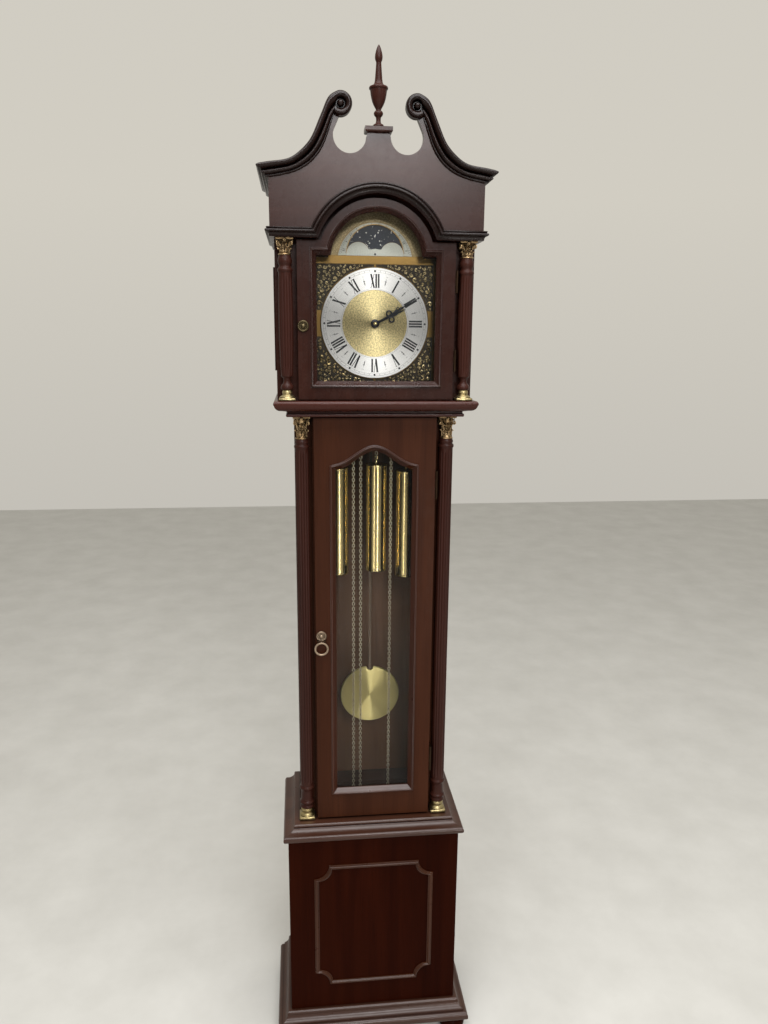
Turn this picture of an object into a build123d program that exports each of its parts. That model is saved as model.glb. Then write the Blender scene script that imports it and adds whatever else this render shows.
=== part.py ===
"""Longcase clock: case, hood, doors, dial, going train, pendulum, weights and chime, in millimetres.

Frame: +Z up, the dial faces -Y, origin on the floor under the middle of the case.
"""
import os
from math import atan2, cos, pi, radians, sin, sqrt

from build123d import *

os.makedirs("parts", exist_ok=True)

# ------------------------------------------------------------------ driving dimensions
BACK = 134.0                # rear face of the case
PANEL_T = 8.0               # back panel thickness
IN_BACK = BACK - PANEL_T    # rear edge of the side boards

FOOT_H = 42.0               # bun foot height
FOOT_X, FOOT_Y = 195.0, 100.0
PLINTH_HW = 229.0           # plinth board half width
PLINTH_T = 20.0
PLINTH_Z1 = FOOT_H + PLINTH_T

BASE_HW = 196.5             # base box half width
BASE_FRONT = -102.0
BASE_TOP = 546.0
BOARD = 18.0                # base board thickness

PANEL_HW = 139.0            # applied moulding on the base front
PANEL_Z0, PANEL_Z1 = 150.0, 475.0
PANEL_CUT = 30.2            # radius of its hollow corners
PANEL_W = 11.0
PANEL_H = 6.0

WAIST_TOP = 577.0
TRUNK_HW = 167.5            # trunk half width
TRUNK_BOARD = 12.0
TRUNK_TOP = 1505.5          # underside of the hood base moulding
HOOD_BASE_TOP = 1538.5

COL_X, COL_Y = 152.2, -59.0         # trunk column axis
HCOL_X, HCOL_Y = 179.5, -86.0       # hood column axis
CAP_H = 47.5
HCAP_H = 32.0
BASE_CAP_H = 28.0
HBASE_CAP_H = 22.0

DOOR_HW = 128.0             # trunk door
DOOR_Z0, DOOR_Z1 = 581.0, 1502.5
DOOR_Y0, DOOR_Y1 = -74.0, -56.0
WIN_HW, WIN_CX = 81.5, -1.5  # window in the trunk door
WIN_Z0, WIN_SHOULDER, WIN_TOP = 652.0, 1394.0, 1433.0
HINGE_X, HINGE_Y = 130.6, -76.0

HDOOR_HW = 156.5            # hood door
HDOOR_Z0, HDOOR_SH = 1541.0, 1847.0
HDOOR_Y0, HDOOR_Y1 = -89.5, -70.0
ARCH_Z = 1811.0             # centre of all the hood arches
HDOOR_R = 115.0
HWIN_HW, HWIN_Z0, HWIN_SH, HWIN_R = 119.0, 1577.5, 1820.5, 91.0
HHINGE_X, HHINGE_Y = 159.4, -92.2

HOOD_HW = 200.0             # hood side boards
FRIEZE_HW = 207.0
FRIEZE_Z0, FRIEZE_Z1 = 1850.0, 1954.0
FRIEZE_Y0, FRIEZE_Y1 = -104.5, -90.0
ARCH_R0, ARCH_R1 = 121.0, 141.0
ARCH_MOULD_H = 18.0
PEDESTAL_Z = 2038.5
CAP_TOP = 2048.0
TIP_Z = 2189.5
FINIAL_Y = -97.0

DIAL_Z = 1691.5             # centre of the hands
DIAL_Y = -46.0              # front of the dial plate
DIAL_HW = 125.0
RING_R, RING_R0 = 109.5, 66.5
MOON_Z, MOON_R = 1826.0, 57.0

FP0, FP1 = -27.0, -24.5     # movement front plate
BP0, BP1 = 18.0, 20.5       # movement back plate
PLATE_HW, PLATE_Z0, PLATE_Z1 = 80.0, 1552.0, 1790.0

CHAIN_Y = -5.0
CHAIN_R = 1.6
SPROCKET_R = 17.0
SPROCKET_Z = 1645.4
SPROCKET_X = {"left": -58.0, "centre": -8.0, "right": 58.5}
WEIGHT_SIDE = {"left": -1, "centre": 1, "right": 1}     # which strand carries the weight
WEIGHT_Z = {"left": 1148.0, "centre": 1154.0, "right": 1140.0}
WEIGHT_R, WEIGHT_L = 23.5, 243.0
CHAIN_END_Z = 300.0

PEND_Y = 30.0
BOB_Z, BOB_R = 837.0, 70.0
RUN = 0.08                  # running clearance of every pivot, on the radius


# ------------------------------------------------------------------ helpers
def trace(start, *segs):
    """Closed outline: a segment is an end point, or (middle, end) of an arc."""
    here = start
    for s in segs:
        if isinstance(s[0], (tuple, list)):
            ThreePointArc(here, s[0], s[1])
            here = s[1]
        else:
            Line(here, s)
            here = s
    if abs(here[0] - start[0]) + abs(here[1] - start[1]) > 1e-6:
        Line(here, start)


def front_plane(y):
    """Sketch plane in X and Z at depth y; a sketch on it is extruded towards the viewer."""
    return Plane(origin=(0, y, 0), x_dir=(1, 0, 0), z_dir=(0, -1, 0))


def turned_plane(x, y):
    return Plane(origin=(x, y, 0), x_dir=(1, 0, 0), z_dir=(0, -1, 0))


def slab(x0, x1, y0, y1, z0, z1, mode=Mode.ADD):
    with Locations(((x0 + x1) / 2, (y0 + y1) / 2, (z0 + z1) / 2)):
        Box(x1 - x0, y1 - y0, z1 - z0, mode=mode)


def rod_y(x, z, r, y0, y1, mode=Mode.ADD):
    """Round rod along Y, added to the part being built."""
    with BuildSketch(front_plane(y1)) as face:
        with Locations((x, z)):
            Circle(r)
    extrude(face.sketch, amount=y1 - y0, mode=mode)


def rod_z(x, y, r, z0, z1, mode=Mode.ADD):
    """Round rod along Z, added to the part being built."""
    with BuildSketch(Plane.XY.offset(z0)) as face:
        with Locations((x, y)):
            Circle(r)
    extrude(face.sketch, amount=z1 - z0, mode=mode)


def turned(x, y, start, *segs):
    """Turned solid about a vertical axis, added to the part being built."""
    with BuildSketch(turned_plane(x, y)) as face:
        with BuildLine():
            trace(start, *segs)
        make_face()
    revolve(face.sketch, axis=Axis((x, y, 0), (0, 0, 1)))


def save(built, label):
    built.part.label = label
    export_step(built.part, "parts/" + label + ".step")


def mitred(hw, yf, yb, reach, inner, start, segs, gap=0.05):
    """Three mitred lengths of one moulding: front, right and left. The outline is (outward, z)."""
    def mapped(f):
        out = []
        for s in segs:
            out.append(tuple(f(p) for p in s) if isinstance(s[0], (tuple, list)) else f(s))
        return out

    with BuildPart() as front:
        with BuildSketch(Plane(origin=(-(hw + reach), 0, 0), x_dir=(0, 1, 0), z_dir=(1, 0, 0))):
            with BuildLine():
                f = lambda p: (yf - p[0], p[1])
                trace(f(start), *mapped(f))
            make_face()
        extrude(amount=2 * (hw + reach))
        with BuildSketch(Plane.XY):
            with BuildLine():
                Polyline((-hw - reach + gap, yf - reach), (hw + reach - gap, yf - reach),
                         (hw - inner - gap, yf + inner), (-hw + inner + gap, yf + inner), close=True)
            make_face()
        extrude(amount=3000, mode=Mode.INTERSECT)
    with BuildPart() as right:
        with BuildSketch(front_plane(yb)):
            with BuildLine():
                f = lambda p: (hw + p[0], p[1])
                trace(f(start), *mapped(f))
            make_face()
        extrude(amount=yb - (yf - reach))
        with BuildSketch(Plane.XY):
            with BuildLine():
                Polyline((hw + reach, yf - reach + gap), (hw + reach, yb), (hw - inner, yb),
                         (hw - inner, yf + inner + gap), close=True)
            make_face()
        extrude(amount=3000, mode=Mode.INTERSECT)
    with BuildPart() as whole:
        add(front.part)
        add(right.part)
        add(right.part.mirror(Plane.YZ))
    return whole


def gear_outline(cx, cz, teeth, module, phase, addendum=0.6, dedendum=1.1, tip=0.18, root=0.45):
    """Corner points of a spur wheel with slim trapezoid teeth; one tooth stands at the phase angle."""
    pitch = 2 * pi / teeth
    r = module * teeth / 2
    r0, r1 = r - dedendum * module, r + addendum * module
    pts = []
    for i in range(teeth):
        a = phase + i * pitch
        for rad, da in ((r0, -root / 2), (r1, -tip / 2), (r1, tip / 2), (r0, root / 2)):
            pts.append((cx + rad * cos(a + da * pitch), cz + rad * sin(a + da * pitch)))
    return pts


def wheel(points, y0, y1, mode=Mode.ADD):
    with BuildSketch(front_plane(y1)) as face:
        with BuildLine():
            Polyline(*points, close=True)
        make_face()
    extrude(face.sketch, amount=y1 - y0, mode=mode)


def mesh_phases(ca, cb, teeth_b):
    """Phases that put a tooth of wheel a into a gap of wheel b."""
    a = atan2(cb[1] - ca[1], cb[0] - ca[0])
    return a, a + pi + pi / teeth_b


# ------------------------------------------------------------------ foot and base
with BuildPart() as bun_feet:
    for fx, fy in ((-FOOT_X, -FOOT_Y), (FOOT_X, -FOOT_Y), (-FOOT_X, FOOT_Y), (FOOT_X, FOOT_Y)):
        turned(fx, fy, (0, 0), (20, 0), ((31, 18), (24, 35)), (24, 37.5), (28, 37.5), (28, FOOT_H - 0.02),
               (0, FOOT_H - 0.02))
save(bun_feet, "bun_feet")

with BuildPart() as plinth_board:
    slab(-PLINTH_HW, PLINTH_HW, -BACK, BACK, FOOT_H, PLINTH_Z1)
    rim = plinth_board.edges().filter_by(lambda e: e.center().Y < BACK - 1 and
                                         (abs(e.center().Z - PLINTH_Z1) < 0.1))
    fillet(rim, 9.0)
    rim = plinth_board.edges().filter_by(lambda e: e.center().Y < BACK - 1 and abs(e.center().Z - FOOT_H) < 0.1)
    fillet(rim, 6.0)
save(plinth_board, "plinth_board")

plinth_moulding = mitred(BASE_HW + 0.05, BASE_FRONT - 0.05, BACK, 22, 0, (0, PLINTH_Z1 + 0.02),
                         [(22, PLINTH_Z1 + 0.02), (22, 66.5), ((14.5, 70.5), (10.5, 78.0)), (10.5, 81.0),
                          ((8.8, 85.4), (4.5, 87.0)), (0, 87.0)])
save(plinth_moulding, "plinth_moulding")

with BuildPart() as base_front:
    slab(-BASE_HW, BASE_HW, BASE_FRONT, BASE_FRONT + BOARD, PLINTH_Z1, BASE_TOP)
save(base_front, "base_front")

with BuildPart() as base_sides:
    slab(BASE_HW - BOARD, BASE_HW, BASE_FRONT + BOARD, IN_BACK, PLINTH_Z1, BASE_TOP)
    mirror(about=Plane.YZ)
save(base_sides, "base_sides")


def panel_outline(d):
    """Rectangle with hollow quarter-round corners, drawn d outside the moulding's inner edge."""
    hw, z0, z1, r = PANEL_HW - PANEL_W + d, PANEL_Z0 + PANEL_W - d, PANEL_Z1 - PANEL_W + d, PANEL_CUT + 0.414 * d
    k = r * sqrt(0.5)
    trace((-hw + r, z0), (hw - r, z0), ((hw - k, z0 + k), (hw, z0 + r)), (hw, z1 - r),
          ((hw - k, z1 - k), (hw - r, z1)), (-hw + r, z1), ((-hw + k, z1 - k), (-hw, z1 - r)), (-hw, z0 + r),
          ((-hw + k, z0 + k), (-hw + r, z0)))


with BuildPart() as base_panel_moulding:
    with BuildSketch(front_plane(BASE_FRONT - 0.02)):
        with BuildLine():
            panel_outline(PANEL_W)
        make_face()
        with BuildLine():
            panel_outline(0)
        make_face(mode=Mode.SUBTRACT)
    extrude(amount=PANEL_H)
save(base_panel_moulding, "base_panel_moulding")

with BuildPart() as back_panels:
    slab(-BASE_HW, BASE_HW, IN_BACK, BACK, PLINTH_Z1 + 0.1, BASE_TOP - 0.1)
    slab(-155.4, 155.4, IN_BACK, BACK, BASE_TOP - 5.0, WAIST_TOP + 5.0)
    slab(-TRUNK_HW, TRUNK_HW, IN_BACK, BACK, WAIST_TOP + 0.1, HOOD_BASE_TOP - 0.1)
    slab(-HOOD_HW, HOOD_HW, IN_BACK, BACK, HOOD_BASE_TOP + 0.1, FRIEZE_Z1)
save(back_panels, "back_panels")

# ------------------------------------------------------------------ waist and trunk
waist_lengths = mitred(TRUNK_HW, -77.0, BACK, 40, TRUNK_BOARD, (-TRUNK_BOARD, BASE_TOP + 0.02),
                        [(36, BASE_TOP + 0.02), ((39.5, 553.6), (36, 561.0)), (31, 561.0),
                         ((22.5, 563.4), (16.0, 569.0)), (14.5, 569.0), ((16.0, 573.4), (13.0, WAIST_TOP)),
                         (-TRUNK_BOARD, WAIST_TOP)])
with BuildPart() as waist_moulding:
    add(waist_lengths.part)
    slab(-155.4, 155.4, -64.9, -30.0, 561.0, WAIST_TOP)
    slab(-155.4, 155.4, 75.0, IN_BACK, 561.0, WAIST_TOP)
save(waist_moulding, "waist_moulding")

STILE_Y0, STILE_Y1, WING_Y0 = -55.5, -30.0, -40.5
with BuildPart() as trunk_sides:
    slab(TRUNK_HW - TRUNK_BOARD, TRUNK_HW, WING_Y0, IN_BACK, WAIST_TOP, HOOD_BASE_TOP)
    mirror(about=Plane.YZ)
save(trunk_sides, "trunk_sides")

with BuildPart() as trunk_face_frame:
    with BuildSketch(Plane.XY.offset(WAIST_TOP + 0.02)):
        with BuildLine():
            Polyline((112, STILE_Y0), (131, STILE_Y0), (131, WING_Y0), (155.4, WING_Y0), (155.4, STILE_Y1),
                     (112, STILE_Y1), close=True)
        make_face()
    extrude(amount=TRUNK_TOP - WAIST_TOP - 0.04)
    mirror(about=Plane.YZ)
    slab(-111.95, 111.95, STILE_Y0, STILE_Y1, WAIST_TOP + 0.02, 598.0)
    slab(-111.95, 111.95, STILE_Y0, STILE_Y1, 1474.0, TRUNK_TOP - 0.02)
save(trunk_face_frame, "trunk_face_frame")

with BuildPart() as trunk_columns:
    z0, z1 = WAIST_TOP + BASE_CAP_H + 0.02, TRUNK_TOP - CAP_H - 0.02
    for sx in (-1, 1):
        turned(sx * COL_X, COL_Y, (0, z0), (15.6, z0), (15.6, 609), (13.8, 611.5), (13.8, 614.5),
               ((16.8, 618.5), (13.8, 622.5)), (13.6, 650.5), ((16.8, 655.5), (14.0, 660)), (14.6, 663),
               (14.4, 1438), (16.2, 1440.5), (16.2, 1444.5), (13.4, 1447), ((14.8, 1451.5), (13.2, 1456)), (13.2, z1), (0, z1))
save(trunk_columns, "trunk_columns")

with BuildPart() as hood_columns:
    z0, z1 = HOOD_BASE_TOP + HBASE_CAP_H + 0.02, FRIEZE_Z0 - HCAP_H - 0.06
    for sx in (-1, 1):
        turned(sx * HCOL_X, HCOL_Y, (0, z0), (11.4, z0), (12.6, 1563), (12.8, 1567), (11.0, 1571), (7.6, 1574), (7.0, 1579),
               (8.2, 1584), (11.6, 1587.5), ((14.4, 1690), (13.0, 1786)), (14.9, 1788.5), (14.9, 1792.5), (12.0, 1796), (11.6, 1799.5),
               ((14.2, 1807.5), (11.8, 1815)), (11.8, z1), (0, z1))
save(hood_columns, "hood_columns")


def capital(x, y, z0, h, r0, half):
    """Leaf capital as a bell under a square abacus."""
    zt = z0 + h
    turned(x, y, (0, z0), (r0, z0), (r0, z0 + 2), ((r0 + 0.6, z0 + 0.45 * h), (half - 1.5, zt - 6)),
           (half - 1.5, zt - 5.5), (0, zt - 5.5))
    slab(x - half, x + half, y - half, y + half, zt - 6, zt - 0.02)


with BuildPart() as column_capitals:
    for sx in (-1, 1):
        capital(sx * COL_X, COL_Y, TRUNK_TOP - CAP_H, CAP_H, 13.4, 18.3)
        capital(sx * HCOL_X, HCOL_Y, FRIEZE_Z0 - HCAP_H - 0.04, HCAP_H, 12.4, 17.3)
save(column_capitals, "column_capitals")


def column_foot(x, y, z0, h, half, neck):
    """Square gilt plinth with a rounded ring on it."""
    slab(x - half, x + half, y - half, y + half, z0 + 0.02, z0 + 0.28 * h)
    turned(x, y, (0, z0 + 0.27 * h), (half - 1.2, z0 + 0.27 * h), (half - 1.2, z0 + 0.34 * h), ((0.5 * (half + neck), z0 + 0.42 * h), (neck, z0 + 0.58 * h)),
           ((neck + 1.2, z0 + 0.76 * h), (neck, z0 + 0.94 * h)), (neck, z0 + h), (0, z0 + h))


with BuildPart() as column_bases:
    for sx in (-1, 1):
        column_foot(sx * COL_X, COL_Y, WAIST_TOP, BASE_CAP_H, 17.8, 12.8)
        column_foot(sx * HCOL_X, HCOL_Y, HOOD_BASE_TOP, HBASE_CAP_H, 16.8, 9.0)
save(column_bases, "column_bases")

# ------------------------------------------------------------------ hood
hood_base = mitred(TRUNK_HW + 0.05, -72.0, BACK, 41, 0, (0, TRUNK_TOP),
                   [(14.0, TRUNK_TOP), ((15.6, 1508.8), (14.0, 1512.0)), (12.6, 1512.4), (12.6, 1516.2), (24.5, 1518.6),
                    ((33.6, 1521.6), (38.6, 1529.6)), ((39.8, 1534.6), (36.8, HOOD_BASE_TOP)), (0, HOOD_BASE_TOP)])
with BuildPart() as hood_base_moulding:
    add(hood_base.part)
    slab(-TRUNK_HW, TRUNK_HW, -71.9, WING_Y0 - 0.1, TRUNK_TOP, HOOD_BASE_TOP)
save(hood_base_moulding, "hood_base_moulding")

with BuildPart() as seat_board:
    for y0, y1 in ((-40.0, -13.0), (8.0, 24.0), (45.0, 95.0)):
        slab(-TRUNK_HW, TRUNK_HW, y0, y1, HOOD_BASE_TOP + 0.02, PLATE_Z0)
save(seat_board, "seat_board")

with BuildPart() as hood_sides:
    slab(188.0, HOOD_HW, -60.0, IN_BACK, HOOD_BASE_TOP + 0.02, FRIEZE_Z0 - 0.05)
    with BuildSketch(Plane(origin=(HOOD_HW - 0.5, 0, 0), x_dir=(0, 1, 0), z_dir=(1, 0, 0))):
        with Locations((35, 1698)):
            Rectangle(130, 204)
            Rectangle(98, 172, mode=Mode.SUBTRACT)
    extrude(amount=4.5)
    mirror(about=Plane.YZ)
    slab(195.0, FRIEZE_HW, FRIEZE_Y1 + 0.1, IN_BACK, FRIEZE_Z0, FRIEZE_Z1)
    slab(-FRIEZE_HW, -195.0, FRIEZE_Y1 + 0.1, IN_BACK, FRIEZE_Z0, FRIEZE_Z1)
    slab(161.0, 194.95, FRIEZE_Y1 + 0.1, -69.0, FRIEZE_Z0, FRIEZE_Z0 + 12)
    slab(-194.95, -161.0, FRIEZE_Y1 + 0.1, -69.0, FRIEZE_Z0, FRIEZE_Z0 + 12)
save(hood_sides, "hood_sides")


def arched(hw, z0, sh, r, zc=ARCH_Z):
    """Square-shouldered opening with a round arch over it."""
    x = sqrt(r * r - (sh - zc) ** 2)
    trace((-hw, z0), (hw, z0), (hw, sh), (x, sh), ((0, zc + r), (-x, sh)), (-hw, sh))


with BuildPart() as hood_mask:
    with BuildSketch(front_plane(-60.1)):
        with Locations((0, (HOOD_BASE_TOP + 1940) / 2)):
            Rectangle(2 * 187.9, 1940 - HOOD_BASE_TOP - 0.1)
        with BuildLine():
            arched(122.0, 1570.0, 1818.0, 95.0)
        make_face(mode=Mode.SUBTRACT)
    extrude(amount=8.4)
save(hood_mask, "hood_mask")

SWAN_TOP = [(-229.0, 1977.0), (-202.5, 1981.8), (-166.0, 1989.0), (-147.0, 2002.0), (-129.0, 2021.5),
            (-114.5, 2051.0), (-103.0, 2077.0), (-91.5, 2097.5), (-76.0, 2106.2)]
SWAN_LOW = [(-85.0, 2062.0), (-94.8, 2034.4), (-104.3, 2011.7), (-119.4, 1990.5), (-138.2, 1975.1),
            (-166.3, 1962.9), (-203.6, 1954.6)]
SCROLL = (-71.5, 2085.0, 21.6)

with BuildPart() as tympanum:
    with BuildSketch(front_plane(FRIEZE_Y1)):
        with BuildLine():
            inset = [(-FRIEZE_HW, 1976.0)] + [(x, z - 4) for x, z in SWAN_TOP[2:4]] + \
                    [(x + 3.0, z - 2.5) for x, z in SWAN_TOP[4:8]]
            Line((-FRIEZE_HW, FRIEZE_Z0 + 0.02), inset[0])
            Spline(*inset)
            Line(inset[-1], (-74, 2103))
            ThreePointArc((-74, 2103), (-54, 2085), (-73, 2067))
            Line((-73, 2067), (-83, 2045))
            ThreePointArc((-83, 2045), (-53, 2001), (-23, 2031))
            Line((-23, 2031), (-20.5, PEDESTAL_Z))
            Line((-20.5, PEDESTAL_Z), (0, PEDESTAL_Z))
            Line((0, PEDESTAL_Z), (0, ARCH_Z + ARCH_R0 + 2))
            x = sqrt((ARCH_R0 + 2) ** 2 - (FRIEZE_Z0 + 0.02 - ARCH_Z) ** 2)
            k = (ARCH_R0 + 2) * sqrt(0.5)
            ThreePointArc((0, ARCH_Z + ARCH_R0 + 2), (-k, ARCH_Z + k), (-x, FRIEZE_Z0 + 0.02))
            Line((-x, FRIEZE_Z0 + 0.02), (-FRIEZE_HW, FRIEZE_Z0 + 0.02))
        make_face()
        mirror(about=Plane.YZ)
    extrude(amount=FRIEZE_Y1 - FRIEZE_Y0)
save(tympanum, "tympanum")

with BuildPart() as arch_moulding:
    with BuildSketch(front_plane(FRIEZE_Y0 - 0.05)):
        with BuildLine():
            z0, z1 = FRIEZE_Z0, FRIEZE_Z0 + ARCH_MOULD_H
            xi = sqrt(ARCH_R0 ** 2 - (z0 - ARCH_Z) ** 2)
            xo = sqrt(ARCH_R1 ** 2 - (z1 - ARCH_Z) ** 2)
            trace((-216, z0), (-xi, z0), ((0, ARCH_Z + ARCH_R0), (xi, z0)), (216, z0), (216, z1), (xo, z1),
                  ((0, ARCH_Z + ARCH_R1), (-xo, z1)), (-216, z1))
        make_face()
    extrude(amount=9.0)
    slab(FRIEZE_HW + 0.05, 216.0, FRIEZE_Y0, BACK, FRIEZE_Z0, FRIEZE_Z0 + ARCH_MOULD_H)
    slab(-216.0, -FRIEZE_HW - 0.05, FRIEZE_Y0, BACK, FRIEZE_Z0, FRIEZE_Z0 + ARCH_MOULD_H)
save(arch_moulding, "arch_moulding")

with BuildPart() as swan_necks:
    with BuildSketch(front_plane(FRIEZE_Y0 - 0.05)):
        with BuildLine():
            Spline(*SWAN_TOP)
            Line(SWAN_TOP[-1], SWAN_LOW[0])
            Spline(*SWAN_LOW)
            Line(SWAN_LOW[-1], (-208.0, 1954.6))
            Line((-208.0, 1954.6), (-229.0, 1967.0))
            Line((-229.0, 1967.0), SWAN_TOP[0])
        make_face()
        with Locations(SCROLL[:2]):
            Circle(SCROLL[2])
        mirror(about=Plane.YZ)
    extrude(amount=15.0)
    with BuildSketch(front_plane(BACK)):
        with BuildLine():
            trace((FRIEZE_HW + 0.05, 1954.6), (210.0, 1954.6), ((215.0, 1963.0), (226.0, 1967.0)), (229.0, 1967.0),
                  (229.0, 1977.0), (FRIEZE_HW + 0.05, 1979.0))
        make_face()
    extrude(amount=BACK - FRIEZE_Y0)
    with BuildSketch(front_plane(BACK)):
        with BuildLine():
            trace((-FRIEZE_HW - 0.05, 1954.6), (-210.0, 1954.6), ((-215.0, 1963.0), (-226.0, 1967.0)), (-229.0, 1967.0),
                  (-229.0, 1977.0), (-FRIEZE_HW - 0.05, 1979.0))
        make_face()
    extrude(amount=BACK - FRIEZE_Y0)
save(swan_necks, "swan_necks")

with BuildPart() as finial_cap:
    slab(-26.0, 26.0, FINIAL_Y - 16, FINIAL_Y + 16, PEDESTAL_Z + 0.02, CAP_TOP)
    fillet(finial_cap.edges().filter_by(lambda e: e.center().Z < CAP_TOP - 1 and e.center().Z < PEDESTAL_Z + 1), 3.0)
save(finial_cap, "finial_cap")

with BuildPart() as finial:
    z = CAP_TOP + 0.02
    turned(0, FINIAL_Y, (0, z), (10.5, z), (10.5, 2052.2), ((9.0, 2055.3), (4.6, 2059.4)), (4.4, 2066.7), (5.5, 2068.8),
           ((9.0, 2073.0), (5.5, 2077.1)), (4.6, 2079.2), ((10.5, 2095.9), (16.2, 2112.5)), (17.8, 2114.6), (17.8, 2118.2),
           ((10.5, 2120.8), (7.2, 2127.1)), (4.7, 2157.2), (4.9, 2162.4), ((7.3, 2168.7), (4.2, 2177.0)), (0.9, TIP_Z), (0, TIP_Z))
save(finial, "finial")

with BuildPart() as hood_roof:
    slab(-FRIEZE_HW, FRIEZE_HW, FRIEZE_Y1 + 0.1, BACK, FRIEZE_Z1 + 0.02, FRIEZE_Z1 + 10)
save(hood_roof, "hood_roof")

# ------------------------------------------------------------------ doors and their hinges
TH_Z = (690.0, 1330.0)      # lower ends of the trunk door hinges
HH_Z = (1598.0, 1752.0)     # lower ends of the hood door hinges


def case_leaf(x, y, z, h, plate_x0, plate_x1, plate_y1):
    """Leaf on the case with two knuckles and the pin fixed in them."""
    third = h / 3
    rod_z(x, y, 1.4, z, z + h)
    rod_z(x, y, 2.4, z, z + third - 0.25)
    rod_z(x, y, 2.4, z + 2 * third, z + h)
    slab(plate_x0, plate_x1, y, plate_y1, z, z + third - 0.25)
    slab(plate_x0, plate_x1, y, plate_y1, z + 2 * third, z + h)
    slab(plate_x0, plate_x1, y + 3.0, plate_y1, z, z + h)


def door_leaf(x, y, z, h, plate_x0, plate_x1, plate_y0, plate_y1):
    """Leaf on the door with the middle knuckle, which turns on the pin."""
    third = h / 3
    slab(plate_x0, plate_x1, plate_y0, plate_y1, z, z + h)
    slab(plate_x0, plate_x1, y - 0.4, plate_y0 + 1, z + third + 0.25, z + 2 * third - 0.25)
    rod_z(x, y, 2.4, z + third + 0.25, z + 2 * third - 0.25)
    rod_z(x, y, 1.4 + RUN, z, z + h, mode=Mode.SUBTRACT)


with BuildPart() as case_hinge_leaves:
    for z in TH_Z:
        case_leaf(HINGE_X, HINGE_Y, z, 60.0, 131.05, 132.3, WING_Y0 - 0.1)
    for z in HH_Z:
        case_leaf(HHINGE_X, HHINGE_Y, z, 42.0, 160.0, 161.0, -68.55)
        slab(160.0, 166.0, -69.6, -68.55, z, z + 42.0)
save(case_hinge_leaves, "case_hinge_leaves")

with BuildPart() as trunk_door_leaves:
    for z in TH_Z:
        door_leaf(HINGE_X, HINGE_Y, z, 60.0, DOOR_HW + 0.02, DOOR_HW + 1.1, -73.2, -57.0)
save(trunk_door_leaves, "trunk_door_leaves")

with BuildPart() as hood_door_leaves:
    for z in HH_Z:
        door_leaf(HHINGE_X, HHINGE_Y, z, 42.0, HDOOR_HW + 0.02, HDOOR_HW + 1.1, -89.2, -72.0)
save(hood_door_leaves, "hood_door_leaves")


def window(d):
    """Trunk door window, d outside the sight line: straight sides and a cyma-arched head."""
    hw, z0, sh, top = WIN_HW + d, WIN_Z0 - d, WIN_SHOULDER + 0.75 * d, WIN_TOP + d
    cx = WIN_CX
    Line((cx - hw, sh), (cx - hw, z0))
    Line((cx - hw, z0), (cx + hw, z0))
    Line((cx + hw, z0), (cx + hw, sh))
    Spline((cx + hw, sh), (cx + 0.74 * hw, sh + 0.17 * (top - sh)), (cx + 0.42 * hw, sh + 0.61 * (top - sh)), (cx, top),
           (cx - 0.42 * hw, sh + 0.61 * (top - sh)), (cx - 0.74 * hw, sh + 0.17 * (top - sh)), (cx - hw, sh))


with BuildPart() as trunk_door:
    with BuildSketch(front_plane(DOOR_Y1)):
        with Locations((0, (DOOR_Z0 + DOOR_Z1) / 2)):
            Rectangle(2 * DOOR_HW, DOOR_Z1 - DOOR_Z0)
    extrude(amount=DOOR_Y1 - DOOR_Y0)
    with BuildSketch(front_plane(DOOR_Y0)):
        with BuildLine():
            window(11.0)
        make_face()
    extrude(amount=3.0)
    with BuildSketch(front_plane(DOOR_Y1 + 1)):
        with BuildLine():
            window(0.0)
        make_face()
    extrude(amount=30.0, mode=Mode.SUBTRACT)
    # sloping inner edge of the frame
    with BuildSketch(front_plane(-68.6)):
        with BuildLine():
            window(-0.02)
        make_face()
    with BuildSketch(front_plane(-77.02)):
        with BuildLine():
            window(7.6)
        make_face()
    loft(ruled=True, mode=Mode.SUBTRACT)
    with BuildSketch(front_plane(DOOR_Y1 + 1)):
        with BuildLine():
            window(5.0)
        make_face()
    extrude(amount=11.0, mode=Mode.SUBTRACT)
save(trunk_door, "trunk_door")

with BuildPart() as trunk_door_glass:
    with BuildSketch(front_plane(-63.0)):
        with BuildLine():
            window(4.5)
        make_face()
    extrude(amount=2.95)
save(trunk_door_glass, "trunk_door_glass")

with BuildPart() as hood_door:
    with BuildSketch(front_plane(HDOOR_Y1)):
        with BuildLine():
            arched(HDOOR_HW, HDOOR_Z0, HDOOR_SH, HDOOR_R)
        make_face()
    extrude(amount=HDOOR_Y1 - HDOOR_Y0)
    with BuildSketch(front_plane(HDOOR_Y0)):
        with BuildLine():
            arched(HWIN_HW + 12, HWIN_Z0 - 12, HWIN_SH + 12, HWIN_R + 10)
        make_face()
    extrude(amount=2.5)
    with BuildSketch(front_plane(HDOOR_Y1 + 1)):
        with BuildLine():
            arched(HWIN_HW, HWIN_Z0, HWIN_SH, HWIN_R)
        make_face()
    extrude(amount=30.0, mode=Mode.SUBTRACT)
    # sloping inner edge of the frame
    with BuildSketch(front_plane(-82.5)):
        with BuildLine():
            arched(HWIN_HW - 0.02, HWIN_Z0 + 0.02, HWIN_SH - 0.02, HWIN_R - 0.02)
        make_face()
    with BuildSketch(front_plane(-92.02)):
        with BuildLine():
            arched(HWIN_HW + 8, HWIN_Z0 - 8, HWIN_SH + 8, HWIN_R + 6.7)
        make_face()
    loft(ruled=True, mode=Mode.SUBTRACT)
    with BuildSketch(front_plane(HDOOR_Y1 + 1)):
        with BuildLine():
            arched(HWIN_HW + 5, HWIN_Z0 - 5, HWIN_SH + 5, HWIN_R + 5)
        make_face()
    extrude(amount=11.0, mode=Mode.SUBTRACT)
save(hood_door, "hood_door")

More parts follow.
